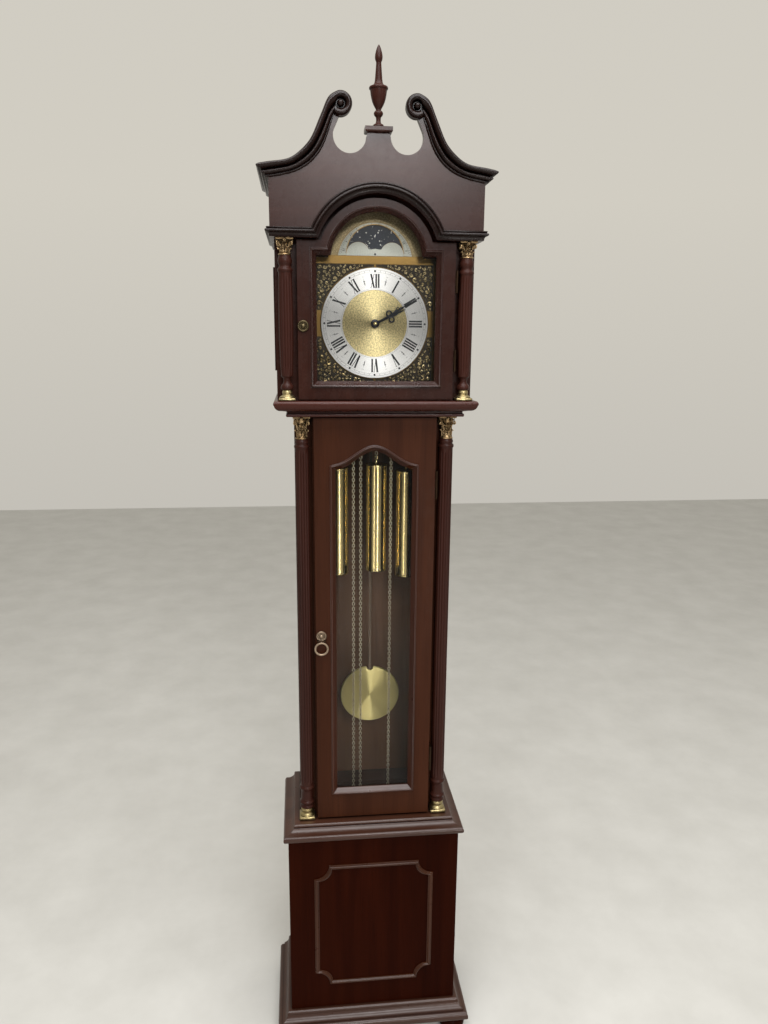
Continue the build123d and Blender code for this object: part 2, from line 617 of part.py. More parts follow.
with BuildPart() as hood_door_glass:
    with BuildSketch(front_plane(-77.0)):
        with BuildLine():
            arched(HWIN_HW + 4.5, HWIN_Z0 - 4.5, HWIN_SH + 4.5, HWIN_R + 4.5)
        make_face()
    extrude(amount=2.95)
save(hood_door_glass, "hood_door_glass")

KNOB_X, KNOB_Z = -146.0, 1685.0
with BuildPart() as hood_door_knob:
    with BuildSketch(Plane(origin=(KNOB_X, 0, KNOB_Z), x_dir=(1, 0, 0), z_dir=(0, 0, 1))):
        with BuildLine():
            trace((0, -89.55), (11.5, -89.55), (11.5, -91.4), (10.8, -93.4), (9.4, -94.4), (8.0, -93.8), (7.0, -92.2), (5.2, -92.2),
                  (4.8, -94.2), (3.6, -96.2), (1.8, -97.2), (0, -97.4))
        make_face()
    revolve(axis=Axis((KNOB_X, 0, KNOB_Z), (0, 1, 0)))
save(hood_door_knob, "hood_door_knob")

PULL_X, BOSS_Z, PULL_PIN_Z, PULL_Y, PULL_R = -116.0, 1027.0, 1016.8, -81.0, 14.0
PULL_DROP = 3.2             # ring hangs this far under its pivot
with BuildPart() as ring_pull_boss:
    with BuildSketch(Plane(origin=(PULL_X, 0, BOSS_Z), x_dir=(1, 0, 0), z_dir=(0, 0, 1))):
        with BuildLine():
            trace((0, -74.02), (11.5, -74.02), (11.5, -75.4), (10.8, -77.2), (9.4, -78.2), (7.8, -77.6), (6.8, -75.9), (4.8, -75.9),
                  (4.2, -77.8), (2.6, -79.4), (0, -80.0))
        make_face()
    revolve(axis=Axis((PULL_X, 0, BOSS_Z), (0, 1, 0)))
    for sx in (-1, 1):
        slab(PULL_X + sx * 8.6 - 1.0, PULL_X + sx * 8.6 + 1.0, PULL_Y, -74.02, 1015.5, 1018.1)
        slab(PULL_X + sx * 8.6 - 1.0, PULL_X + sx * 8.6 + 1.0, -75.4, -74.02, 1015.5, 1023.0)
        with BuildSketch(Plane(origin=(PULL_X + sx * 8.6 - 1.0, 0, 0), x_dir=(0, 1, 0), z_dir=(1, 0, 0))):
            with Locations((PULL_Y, PULL_PIN_Z)):
                Circle(2.4)
        extrude(amount=2.0)
    with BuildSketch(Plane(origin=(PULL_X - 20, 0, 0), x_dir=(0, 1, 0), z_dir=(1, 0, 0))):
        with Locations((PULL_Y, PULL_PIN_Z)):
            Circle(1.4 + RUN)
    extrude(amount=40.0, mode=Mode.SUBTRACT)
save(ring_pull_boss, "ring_pull_boss")

with BuildPart() as ring_pull:
    with BuildSketch(Plane(origin=(PULL_X, PULL_Y, PULL_PIN_Z - PULL_R - PULL_DROP), x_dir=(1, 0, 0), z_dir=(0, 0, 1))):
        with Locations((PULL_R, 0)):
            Circle(1.9)
    revolve(axis=Axis((PULL_X, PULL_Y, PULL_PIN_Z - PULL_R - PULL_DROP), (0, 1, 0)))
    with BuildSketch(Plane(origin=(PULL_X - 9.8, 0, 0), x_dir=(0, 1, 0), z_dir=(1, 0, 0))):
        with Locations((PULL_Y, PULL_PIN_Z)):
            Circle(1.4)
    extrude(amount=19.6)
    slab(PULL_X - 3.0, PULL_X + 3.0, PULL_Y - 1.0, PULL_Y + 1.0, PULL_PIN_Z - PULL_DROP, PULL_PIN_Z)
save(ring_pull, "ring_pull")

# ------------------------------------------------------------------ dial
with BuildPart() as dial_plate:
    with BuildSketch(front_plane(DIAL_Y + 1.5)):
        with BuildLine():
            arched(DIAL_HW, 1566.0, 1818.0, 97.0)
        make_face()
        with Locations((0, DIAL_Z)):
            Circle(7.5, mode=Mode.SUBTRACT)
    extrude(amount=1.5)
    with BuildSketch(front_plane(DIAL_Y + 3)):
        with BuildLine():
            trace((-MOON_R, MOON_Z + 1.5), ((0, MOON_Z + MOON_R), (MOON_R, MOON_Z + 1.5)))
        make_face()
        with Locations((-34, MOON_Z), (34, MOON_Z)):
            Circle(24, mode=Mode.SUBTRACT)
        with Locations((0, MOON_Z)):
            Circle(6, mode=Mode.SUBTRACT)
    extrude(amount=6, mode=Mode.SUBTRACT)
    rod_y(0, MOON_Z, 2.0, DIAL_Y + 1.4, -39.0)
    for x in (-70, 70):
        for z in (1600, 1775):
            rod_y(x, z, 3.0, DIAL_Y + 1.4, FP0 - 0.05)
save(dial_plate, "dial_plate")

with BuildPart() as chapter_ring:
    with BuildSketch(front_plane(DIAL_Y - 0.05)):
        with Locations((0, DIAL_Z)):
            Circle(RING_R)
            Circle(RING_R0, mode=Mode.SUBTRACT)
    extrude(amount=2.0)
save(chapter_ring, "chapter_ring")

with BuildPart() as spandrels:
    with BuildSketch(front_plane(DIAL_Y - 0.05)):
        for sx in (-1, 1):
            for z0, z1 in ((1748.0, 1806.5), (1574.0, 1634.0)):
                with Locations((sx * 93.5, (z0 + z1) / 2)):
                    Rectangle(51, z1 - z0)
        with Locations((0, DIAL_Z)):
            Circle(RING_R + 1.0, mode=Mode.SUBTRACT)
    extrude(amount=1.6)
save(spandrels, "spandrels")

with BuildPart() as moon_disc:
    with BuildSketch(front_plane(-42.4)):
        with Locations((0, MOON_Z)):
            Circle(61.5)
            Circle(2.0 + RUN, mode=Mode.SUBTRACT)
    extrude(amount=1.0)
save(moon_disc, "moon_disc")


def along(angle_deg, pts):
    """Points given as (sideways, outward) of a hand that stands at an angle clockwise from twelve."""
    a = radians(angle_deg)
    return [(s * cos(a) + o * sin(a), DIAL_Z - s * sin(a) + o * cos(a)) for s, o in pts]


with BuildPart() as minute_hand:
    with BuildSketch(front_plane(-55.6)):
        with BuildLine():
            Polyline(*along(60, [(-2.2, 0), (-2.6, 40), (-5.0, 50), (-2.4, 60), (-0.5, 104), (0.5, 104), (2.4, 60),
                                 (5.0, 50), (2.6, 40), (2.2, 0)]), close=True)
        make_face()
        with Locations((0, DIAL_Z)):
            Circle(6.5)
            Circle(3.45, mode=Mode.SUBTRACT)
    extrude(amount=1.4)
save(minute_hand, "minute_hand")

with BuildPart() as hour_hand:
    with BuildSketch(front_plane(-51.4)):
        with BuildLine():
            Polyline(*along(65, [(-2.6, 0), (-2.6, 30), (-8.5, 42), (-3.0, 53), (-0.5, 70), (0.5, 70), (3.0, 53),
                                 (8.5, 42), (2.6, 30), (2.6, 0)]), close=True)
        make_face()
        with Locations((0, DIAL_Z)):
            Circle(8.5)
            Circle(5.25, mode=Mode.SUBTRACT)
    extrude(amount=1.4)
save(hour_hand, "hour_hand")

# ------------------------------------------------------------------ movement
CENTRE = (0.0, DIAL_Z)
GREAT = (SPROCKET_X["centre"], SPROCKET_Z)
GT, CP, CW, TP, TW, EP = 96, 8, 64, 8, 60, 8    # teeth of the going train
M1 = sqrt((GREAT[0] - CENTRE[0]) ** 2 + (GREAT[1] - CENTRE[1]) ** 2) / ((GT + CP) / 2)
M2, M3 = 0.8, 0.75
D2, D3 = M2 * (CW + TP) / 2, M3 * (TW + EP) / 2
THIRD = (D2 * cos(radians(60)), DIAL_Z + D2 * sin(radians(60)))
ESCAPE = (0.0, THIRD[1] + sqrt(D3 ** 2 - THIRD[0] ** 2))
PALLET_Z = ESCAPE[1] + 25.0
CT, MT, MP, HT = 12, 36, 12, 48                 # teeth of the motion work
M4, M5 = 1.0, 0.8
D4 = M4 * (CT + MT) / 2
MINUTE = (D4 * cos(radians(-60)), DIAL_Z + D4 * sin(radians(-60)))

PIVOT = 1.5
with BuildPart() as movement_plates:
    slab(-PLATE_HW, PLATE_HW, BP0, BP1, PLATE_Z0 + 0.02, PLATE_Z1)
    for x, z in ((-58, 1566), (58, 1566), (-70, 1782), (70, 1782)):
        rod_y(x, z, 5.0, FP1 + 0.03, BP0 + 0.2)
    slab(-9.0, 9.0, BP1 - 0.1, 37.0, PALLET_Z + 5.5, PALLET_Z + 17.0)
    slab(-1.0, 1.0, 25.0, 35.0, PALLET_Z, PALLET_Z + 14.0, mode=Mode.SUBTRACT)
    slab(-PLATE_HW, PLATE_HW, FP0, FP1, PLATE_Z0 + 0.02, PLATE_Z1)
    rod_y(MINUTE[0], MINUTE[1], 2.0, -41.0, FP0 + 0.1)
    for x, z in (GREAT, THIRD, ESCAPE, (SPROCKET_X["left"], SPROCKET_Z), (SPROCKET_X["right"], SPROCKET_Z)):
        rod_y(x, z, PIVOT + RUN, FP0 - 1, BP1 + 1, mode=Mode.SUBTRACT)
    rod_y(CENTRE[0], CENTRE[1], PIVOT + RUN, BP0 - 1, BP1 + 1, mode=Mode.SUBTRACT)
    rod_y(CENTRE[0], CENTRE[1], 2.0 + RUN, FP0 - 1, FP1 + 1, mode=Mode.SUBTRACT)
    rod_y(0, PALLET_Z, PIVOT + RUN, FP0 - 1, FP1 + 1, mode=Mode.SUBTRACT)
    rod_y(0, PALLET_Z, 4.5, BP0 - 1, BP1 + 1, mode=Mode.SUBTRACT)
save(movement_plates, "movement_plates")


def arbor(x, z, r):
    """Shaft between the plates with a thin pivot at each end."""
    rod_y(x, z, r, FP1 + 0.4, BP0 - 0.4)
    rod_y(x, z, PIVOT, FP0, BP1)


pa, pb = mesh_phases(GREAT, CENTRE, CP)
with BuildPart() as great_wheel:
    arbor(*GREAT, 3.0)
    wheel(gear_outline(*GREAT, GT, M1, pa), 4.0, 6.5)
save(great_wheel, "great_wheel")

pc, pd = mesh_phases(CENTRE, THIRD, TP)
with BuildPart() as centre_wheel:
    rod_y(*CENTRE, 2.0, -58.0, BP0 - 0.4)
    rod_y(*CENTRE, PIVOT, BP0 - 1, BP1)
    wheel(gear_outline(*CENTRE, CP, M1, pb), 3.0, 7.5)
    wheel(gear_outline(*CENTRE, CW, M2, pc), 10.0, 12.0)
save(centre_wheel, "centre_wheel")

pe, pf = mesh_phases(THIRD, ESCAPE, EP)
with BuildPart() as third_wheel:
    arbor(*THIRD, 1.9)
    wheel(gear_outline(*THIRD, TP, M2, pd), 9.0, 13.0)
    wheel(gear_outline(*THIRD, TW, M3, pe), 0.0, 2.0)
save(third_wheel, "third_wheel")

with BuildPart() as escape_wheel:
    arbor(*ESCAPE, 1.7)
    wheel(gear_outline(*ESCAPE, EP, M3, pf), -1.0, 3.0)
    teeth = []
    for i in range(30):
        a = 2 * pi * i / 30
        for r, da in ((14.5, -0.30), (18.0, -0.04), (18.0, 0.04), (14.5, 0.12)):
            b = a + da * 2 * pi / 30
            teeth.append((ESCAPE[0] + r * cos(b), ESCAPE[1] + r * sin(b)))
    wheel(teeth, 14.0, 15.5)
save(escape_wheel, "escape_wheel")

with BuildPart() as anchor:
    rod_y(0, PALLET_Z, 1.9, FP1 + 0.4, 24.5)
    rod_y(0, PALLET_Z, PIVOT, FP0, FP1 + 1)
    z = PALLET_Z
    half = [(0, z + 5), (5, z + 4), (15.5, z - 4), (16.0, z - 9.5), (12.8, z - 9.9), (11, z - 6.5), (0, z - 3.5)]
    wheel(half + [(-x, h) for x, h in reversed(half[1:-1])], 14.0, 15.5)
    slab(-2.0, 2.0, 22.5, 24.5, z - 70, z)
    slab(-2.0, 2.0, 22.5, 28.6, z - 74, z - 68)
save(anchor, "anchor")

with BuildPart() as cannon_pinion:
    rod_y(*CENTRE, 3.4, -57.2, -29.0)
    wheel(gear_outline(*CENTRE, CT, M4, mesh_phases(CENTRE, MINUTE, MT)[0]), -33.0, -29.0)
    rod_y(*CENTRE, 2.0 + RUN, -60.0, -20.0, mode=Mode.SUBTRACT)
save(cannon_pinion, "cannon_pinion")

ph, pi_ = mesh_phases(MINUTE, CENTRE, HT)
with BuildPart() as minute_wheel:
    wheel(gear_outline(*MINUTE, MT, M4, mesh_phases(CENTRE, MINUTE, MT)[1]), -32.5, -30.0)
    rod_y(*MINUTE, 3.6, -39.0, -30.0)
    wheel(gear_outline(*MINUTE, MP, M5, ph), -39.0, -34.5)
    rod_y(*MINUTE, 2.0 + RUN, -45.0, -20.0, mode=Mode.SUBTRACT)
save(minute_wheel, "minute_wheel")

with BuildPart() as hour_wheel:
    rod_y(*CENTRE, 5.2, -53.0, -34.0)
    wheel(gear_outline(*CENTRE, HT, M5, pi_), -38.0, -36.0)
    rod_y(*CENTRE, 3.4 + RUN, -60.0, -20.0, mode=Mode.SUBTRACT)
save(hour_wheel, "hour_wheel")

# ------------------------------------------------------------------ weights and chains
for side, xs in SPROCKET_X.items():
    with BuildPart() as sprocket:
        rod_y(xs, SPROCKET_Z, 15.0, CHAIN_Y - 4, CHAIN_Y + 4)
        rod_y(xs, SPROCKET_Z, 20.0, CHAIN_Y - 4, CHAIN_Y - 2.4)
        rod_y(xs, SPROCKET_Z, 20.0, CHAIN_Y + 2.4, CHAIN_Y + 4)
        if side == "centre":
            rod_y(xs, SPROCKET_Z, 3.0 + RUN, CHAIN_Y - 6, CHAIN_Y + 6, mode=Mode.SUBTRACT)
        else:
            rod_y(xs, SPROCKET_Z, 3.0, FP1 + 0.4, BP0 - 0.4)
            rod_y(xs, SPROCKET_Z, PIVOT, FP0, BP1)
    save(sprocket, "sprocket_" + side)

    xw, z = xs + WEIGHT_SIDE[side] * SPROCKET_R, WEIGHT_Z[side]
    with BuildPart() as weight:
        turned(xw, CHAIN_Y, (0, z), (22.0, z), (24.0, z + 2), (24.0, z + 6), (WEIGHT_R, z + 6.5),
               (WEIGHT_R, z + WEIGHT_L - 6.5), (24.0, z + WEIGHT_L - 6), (24.0, z + WEIGHT_L - 2), (22.0, z + WEIGHT_L),
               (4.0, z + WEIGHT_L), (4.0, z + WEIGHT_L + 6), (2.2, z + WEIGHT_L + 8), (2.2, z + WEIGHT_L + 20),
               (0, z + WEIGHT_L + 20))
    save(weight, "weight_" + side)

with BuildPart() as chains:
    for side, xs in SPROCKET_X.items():
        xw, xf = xs + WEIGHT_SIDE[side] * SPROCKET_R, xs - WEIGHT_SIDE[side] * SPROCKET_R
        zw = WEIGHT_Z[side] + WEIGHT_L + 20.3
        with BuildSketch(Plane.XY.offset(zw)):
            with Locations((xw, CHAIN_Y)):
                Circle(CHAIN_R)
        extrude(amount=SPROCKET_Z - zw)
        with BuildSketch(Plane.XY.offset(CHAIN_END_Z)):
            with Locations((xf, CHAIN_Y)):
                Circle(CHAIN_R)
        extrude(amount=SPROCKET_Z - CHAIN_END_Z)
        with BuildSketch(Plane.XY.offset(SPROCKET_Z)):
            with Locations((xs + SPROCKET_R, CHAIN_Y)):
                Circle(CHAIN_R)
        revolve(axis=Axis((xs, CHAIN_Y, SPROCKET_Z), (0, -1, 0)), revolution_arc=180)
save(chains, "chains")

# ------------------------------------------------------------------ pendulum
with BuildPart() as pendulum_rod:
    slab(-3.0, 3.0, PEND_Y - 1, PEND_Y + 1, BOB_Z - 58.0, PALLET_Z - 5)
    slab(-0.25, 0.25, PEND_Y - 3, PEND_Y + 3, PALLET_Z - 12, PALLET_Z + 7)
save(pendulum_rod, "pendulum_rod")

with BuildPart() as pendulum_bob:
    with BuildSketch(Plane(origin=(0, 0, BOB_Z), x_dir=(1, 0, 0), z_dir=(0, 0, 1))):
        with BuildLine():
            trace((0, PEND_Y - 6.5), (20, PEND_Y - 6.3), (40, PEND_Y - 5.2), (56, PEND_Y - 3.6),
                  (BOB_R - 1.5, PEND_Y - 1.9), (BOB_R, PEND_Y - 1.0), (BOB_R, PEND_Y + 1.0),
                  (BOB_R - 1.5, PEND_Y + 1.9), (56, PEND_Y + 3.6), (40, PEND_Y + 5.2), (20, PEND_Y + 6.3), (0, PEND_Y + 6.5))
        make_face()
    revolve(axis=Axis((0, 0, BOB_Z), (0, 1, 0)))
    slab(-3.05, 3.05, PEND_Y - 1.05, PEND_Y + 1.05, BOB_Z - 58.05, BOB_Z + BOB_R + 10, mode=Mode.SUBTRACT)
save(pendulum_bob, "pendulum_bob")

# ------------------------------------------------------------------ chime
ROD_X = (-85.0, -75.0, -65.0, -55.0)
HAMMER_Y, HAMMER_Z = 84.0, 1518.0
with BuildPart() as chime_rods:
    slab(-97.0, -43.0, 108.0, IN_BACK - 0.05, 1500.0, 1528.0)
    for x, zb in zip(ROD_X, (1175.0, 1195.0, 1215.0, 1235.0)):
        with BuildSketch(Plane.XY.offset(zb)):
            with Locations((x, 117.0)):
                Circle(1.5)
        extrude(amount=1499.97 - zb)
    with BuildSketch(Plane(origin=(-102, 0, 0), x_dir=(0, 1, 0), z_dir=(1, 0, 0))):
        with Locations((HAMMER_Y, HAMMER_Z)):
            Circle(1.8)
    extrude(amount=64.0)
    slab(-104.0, -100.0, HAMMER_Y - 4, HAMMER_Y + 4, HAMMER_Z - 4, HOOD_BASE_TOP)
    slab(-40.0, -36.0, HAMMER_Y - 4, HAMMER_Y + 4, HAMMER_Z - 4, HOOD_BASE_TOP)
save(chime_rods, "chime_rods")

with BuildPart() as hammers:
    for x in ROD_X:
        slab(x - 2.5, x + 2.5, HAMMER_Y - 3.5, HAMMER_Y + 3.5, HAMMER_Z - 4, HAMMER_Z + 4)
        slab(x - 1.5, x + 1.5, HAMMER_Y - 1.5, HAMMER_Y + 1.5, HAMMER_Z - 27, HAMMER_Z - 3)
        rod_y(x, HAMMER_Z - 26, 3.8, HAMMER_Y - 2, 112.5)
    with BuildSketch(Plane(origin=(-110, 0, 0), x_dir=(0, 1, 0), z_dir=(1, 0, 0))):
        with Locations((HAMMER_Y, HAMMER_Z)):
            Circle(1.8 + RUN)
    extrude(amount=90.0, mode=Mode.SUBTRACT)
save(hammers, "hammers")
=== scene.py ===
import math
import random

import bmesh
import bpy
import numpy as np
from mathutils import Matrix, Vector


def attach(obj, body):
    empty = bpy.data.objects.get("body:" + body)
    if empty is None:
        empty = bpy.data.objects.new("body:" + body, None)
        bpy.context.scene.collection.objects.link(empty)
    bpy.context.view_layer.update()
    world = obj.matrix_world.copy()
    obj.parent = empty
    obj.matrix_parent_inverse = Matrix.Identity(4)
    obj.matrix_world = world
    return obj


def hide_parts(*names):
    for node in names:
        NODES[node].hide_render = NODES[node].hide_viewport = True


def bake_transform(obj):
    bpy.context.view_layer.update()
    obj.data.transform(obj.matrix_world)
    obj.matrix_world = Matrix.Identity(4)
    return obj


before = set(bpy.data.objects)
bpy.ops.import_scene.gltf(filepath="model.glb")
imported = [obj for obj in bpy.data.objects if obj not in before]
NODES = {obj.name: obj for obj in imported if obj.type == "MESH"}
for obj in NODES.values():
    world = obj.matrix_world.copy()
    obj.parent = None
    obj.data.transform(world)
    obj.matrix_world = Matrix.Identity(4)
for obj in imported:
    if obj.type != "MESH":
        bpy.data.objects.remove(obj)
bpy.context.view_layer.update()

MM = 0.001
PI = math.pi
RNG = random.Random(7)


# ------------------------------------------------------------------ small mesh toolkit (millimetres in, metres out)
class Geo:
    """Collects vertices and faces of one piece."""

    def __init__(self):
        self.v, self.f, self.m = [], [], []

    def add(self, verts, faces, mat=0):
        k = len(self.v)
        self.v += [tuple(p) for p in verts]
        self.f += [tuple(i + k for i in f) for f in faces]
        self.m += [mat] * len(faces)
        return self

    def grid(self, rows, close_u=False, close_v=False, mat=0):
        """rows: list of equally long point lists."""
        nu, nv = len(rows), len(rows[0])
        verts = [p for r in rows for p in r]
        faces = []
        for i in range(nu if close_u else nu - 1):
            for j in range(nv if close_v else nv - 1):
                a, b = i * nv + j, i * nv + (j + 1) % nv
                c, d = ((i + 1) % nu) * nv + (j + 1) % nv, ((i + 1) % nu) * nv + j
                faces.append((a, b, c, d))
        return self.add(verts, faces, mat)

    def lathe(self, prof, centre, axis="z", seg=48, mod=None, mat=0):
        """Turns (r, h) pairs about a vertical axis, or about Y with h along -Y."""
        rows = []
        for i in range(seg):
            a = 2 * PI * i / seg
            row = []
            for r, h in prof:
                rr = r if mod is None else mod(r, h, a)
                c, s = rr * math.cos(a), rr * math.sin(a)
                if axis == "z":
                    row.append((centre[0] + c, centre[1] + s, centre[2] + h))
                else:
                    row.append((centre[0] + c, centre[1] - h, centre[2] + s))
            rows.append(row)
        return self.grid(rows, close_u=True, mat=mat)

    def tube(self, pts, rad, seg=8, flat=1.0, cap=True, mat=0):
        """Round tube along points; rad is a number or a list; flat squashes it along Y."""
        pts = [Vector(p) for p in pts]
        n = len(pts)
        rads = [rad] * n if isinstance(rad, (int, float)) else list(rad)
        rows = []
        t0 = (pts[1] - pts[0]).normalized()
        ref = Vector((0, 1, 0)) if abs(t0.y) < 0.9 else Vector((1, 0, 0))
        for i, p in enumerate(pts):
            t = (pts[min(i + 1, n - 1)] - pts[max(i - 1, 0)]).normalized()
            side = t.cross(ref)
            if side.length < 1e-6:
                side = t.cross(Vector((1, 0, 0)))
            side.normalize()
            up = side.cross(t).normalized()
            rows.append([tuple(p + rads[i] * (math.cos(a) * side + math.sin(a) * flat * up))
                         for a in (2 * PI * k / seg for k in range(seg))])
        k = len(self.v)
        self.grid(rows, close_v=True, mat=mat)
        if cap:
            self.f += [tuple(range(k + seg - 1, k - 1, -1)), tuple(range(k + (n - 1) * seg, k + n * seg))]
            self.m += [mat, mat]
        return self

    def prism(self, outline, y0, y1, ease=0.0, mat=0):
        """Plate with an outline in X and Z between depths y0 (front) and y1 (back), front edge eased."""
        n = len(outline)
        pts = [Vector((p[0], p[1])) for p in outline]
        area = sum(pts[i].x * pts[(i + 1) % n].y - pts[(i + 1) % n].x * pts[i].y for i in range(n))
        if area < 0:
            pts.reverse()
        rings = []
        if ease:
            inner = []
            for i in range(n):
                a, b, c = pts[i - 1], pts[i], pts[(i + 1) % n]
                e0, e1 = (b - a), (c - b)
                e0 = e0.normalized() if e0.length > 1e-9 else e1.normalized()
                e1 = e1.normalized() if e1.length > 1e-9 else e0
                nrm = Vector((-e0.y - e1.y, e0.x + e1.x))
                nrm = nrm.normalized() if nrm.length > 1e-6 else Vector((-e0.y, e0.x))
                inner.append(b + ease * nrm)
            rings.append([(p.x, y0, p.y) for p in inner])
            rings.append([(p.x, y0 + ease, p.y) for p in pts])
        else:
            rings.append([(p.x, y0, p.y) for p in pts])
        rings.append([(p.x, y1, p.y) for p in pts])
        k = len(self.v)
        self.grid(rings, close_v=True, mat=mat)
        last = k + (len(rings) - 1) * n
        self.f += [tuple(range(k, k + n)), tuple(range(last + n - 1, last - 1, -1))]
        self.m += [mat, mat]
        return self

    def ball(self, c, r, n=8, squash=(1, 1, 1), mat=0):
        prof = [(r * math.sin(PI * i / n), -r * math.cos(PI * i / n)) for i in range(n + 1)]
        rows = []
        for i in range(2 * n):
            a = PI * i / n
            rows.append([(c[0] + q * math.cos(a) * squash[0], c[1] + q * math.sin(a) * squash[1], c[2] + h * squash[2])
                         for q, h in prof])
        return self.grid(rows, close_u=True, mat=mat)

    def block(self, lo, hi, bevel=0.0, mat=0):
        """Board with eased edges: a chamfered cuboid."""
        x0, y0, z0 = lo
        x1, y1, z1 = hi
        e = bevel
        ring = lambda x0, x1, y0, y1, z: [(x0 + e, y0, z), (x1 - e, y0, z), (x1, y0 + e, z), (x1, y1 - e, z), (x1 - e, y1, z),
                                          (x0 + e, y1, z), (x0, y1 - e, z), (x0, y0 + e, z)]
        rows = [ring(x0 + e, x1 - e, y0 + e, y1 - e, z0), ring(x0, x1, y0, y1, z0 + e), ring(x0, x1, y0, y1, z1 - e),
                ring(x0 + e, x1 - e, y0 + e, y1 - e, z1)]
        k = len(self.v)
        self.grid(rows, close_v=True, mat=mat)
        self.f += [tuple(range(k + 7, k - 1, -1)), tuple(range(k + 24, k + 32))]
        self.m += [mat, mat]
        return self


def piece(name, geo, mats, body, replaces=(), sharp=38.0, smooth=True, origin=(0.0, 0.0, 0.0)):
    """Makes the object, welds it, turns its faces outwards and marks hard edges."""
    me = bpy.data.meshes.new(name)
    ox, oy, oz = origin
    me.from_pydata([((x - ox) * MM, (y - oy) * MM, (z - oz) * MM) for x, y, z in geo.v], [], geo.f)
    mats = mats if isinstance(mats, (list, tuple)) else [mats]
    for m in mats:
        me.materials.append(m)
    me.polygons.foreach_set("material_index", geo.m)
    bm = bmesh.new()
    bm.from_mesh(me)
    bmesh.ops.remove_doubles(bm, verts=bm.verts, dist=1e-6)
    bmesh.ops.dissolve_degenerate(bm, edges=bm.edges, dist=1e-7)
    bmesh.ops.recalc_face_normals(bm, faces=bm.faces)
    lim = math.radians(sharp)
    for f in bm.faces:
        f.smooth = smooth
    for e in bm.edges:
        if len(e.link_faces) == 2 and e.calc_face_angle(0.0) > lim:
            e.smooth = False
    bm.to_mesh(me)
    bm.free()
    ob = bpy.data.objects.new(name, me)
    bpy.context.scene.collection.objects.link(ob)
    ob.location = (ox * MM, oy * MM, oz * MM)
    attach(ob, body)
    if replaces:
        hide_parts(*replaces)
    return ob


def spline(pts, n):
    """Natural cubic through the points, by chord length, n samples evenly along it."""
    p = np.array(pts, float)
    t = np.concatenate([[0], np.cumsum(np.linalg.norm(np.diff(p, axis=0), axis=1))])
    k = len(p)
    h = np.diff(t)
    a = np.zeros((k, k))
    r = np.zeros((k, p.shape[1]))
    a[0, 0] = a[-1, -1] = 1
    for i in range(1, k - 1):
        a[i, i - 1], a[i, i], a[i, i + 1] = h[i - 1], 2 * (h[i - 1] + h[i]), h[i]
        r[i] = 6 * ((p[i + 1] - p[i]) / h[i] - (p[i] - p[i - 1]) / h[i - 1])
    m = np.linalg.solve(a, r)
    fine = np.linspace(0, t[-1], 40 * k)
    idx = np.clip(np.searchsorted(t, fine, side="right") - 1, 0, k - 2)
    hh = h[idx][:, None]
    d0, d1 = (fine - t[idx])[:, None], (t[idx + 1] - fine)[:, None]
    q = (m[idx] * d1 ** 3 + m[idx + 1] * d0 ** 3) / (6 * hh) + (p[idx] / hh - m[idx] * hh / 6) * d1 + \
        (p[idx + 1] / hh - m[idx + 1] * hh / 6) * d0
    s = np.concatenate([[0], np.cumsum(np.linalg.norm(np.diff(q, axis=0), axis=1))])
    want = np.linspace(0, s[-1], n)
    return np.stack([np.interp(want, s, q[:, c]) for c in range(q.shape[1])], 1)


# ------------------------------------------------------------------ materials
def new_mat(name):
    m = bpy.data.materials.new(name)
    m.use_nodes = True
    nt = m.node_tree
    nt.nodes.clear()
    out = nt.nodes.new("ShaderNodeOutputMaterial")
    b = nt.nodes.new("ShaderNodeBsdfPrincipled")
    nt.links.new(b.outputs[0], out.inputs[0])
    return m, nt, b


def mapped(nt, scale, kind="Object", rot=(0, 0, 0), loc=(0, 0, 0)):
    tc = nt.nodes.new("ShaderNodeTexCoord")
    mp = nt.nodes.new("ShaderNodeMapping")
    mp.inputs["Scale"].default_value = scale
    mp.inputs["Rotation"].default_value = rot
    mp.inputs["Location"].default_value = loc
    nt.links.new(tc.outputs[kind], mp.inputs["Vector"])
    return mp.outputs[0]


def noise(nt, vec, scale, detail=4.0, rough=0.55, dist=0.0):
    n = nt.nodes.new("ShaderNodeTexNoise")
    n.inputs["Scale"].default_value = scale
    n.inputs["Detail"].default_value = detail
    n.inputs["Roughness"].default_value = rough
    n.inputs["Distortion"].default_value = dist
    nt.links.new(vec, n.inputs["Vector"])
    return n.outputs["Fac"]


def ramp(nt, fac, stops):
    r = nt.nodes.new("ShaderNodeValToRGB")
    el = r.color_ramp.elements
    while len(el) < len(stops):
        el.new(0.5)
    for e, (p, c) in zip(el, stops):
        e.position = p
        e.color = (c, c, c, 1) if isinstance(c, (int, float)) else (*c, 1)
    nt.links.new(fac, r.inputs["Fac"])
    return r.outputs["Color"]


def mix(nt, a, b, fac, mode="MIX"):
    x = nt.nodes.new("ShaderNodeMix")
    x.data_type = "RGBA"
    x.blend_type = mode
    if isinstance(fac, (int, float)):
        x.inputs["Factor"].default_value = fac
    else:
        nt.links.new(fac, x.inputs["Factor"])
    for s, v in (("A", a), ("B", b)):
        sock = [i for i in x.inputs if i.name == s and i.type == "RGBA"][0]
        if isinstance(v, (tuple, list)):
            sock.default_value = (*v, 1)
        else:
            nt.links.new(v, sock)
    return [o for o in x.outputs if o.type == "RGBA"][0]


def spread(nt, fac, lo, hi, a=0.3, b=0.7):
    r = nt.nodes.new("ShaderNodeMapRange")
    r.inputs["From Min"].default_value = a
    r.inputs["From Max"].default_value = b
    r.inputs["To Min"].default_value = lo
    r.inputs["To Max"].default_value = hi
    nt.links.new(fac, r.inputs["Value"])
    return r.outputs[0]


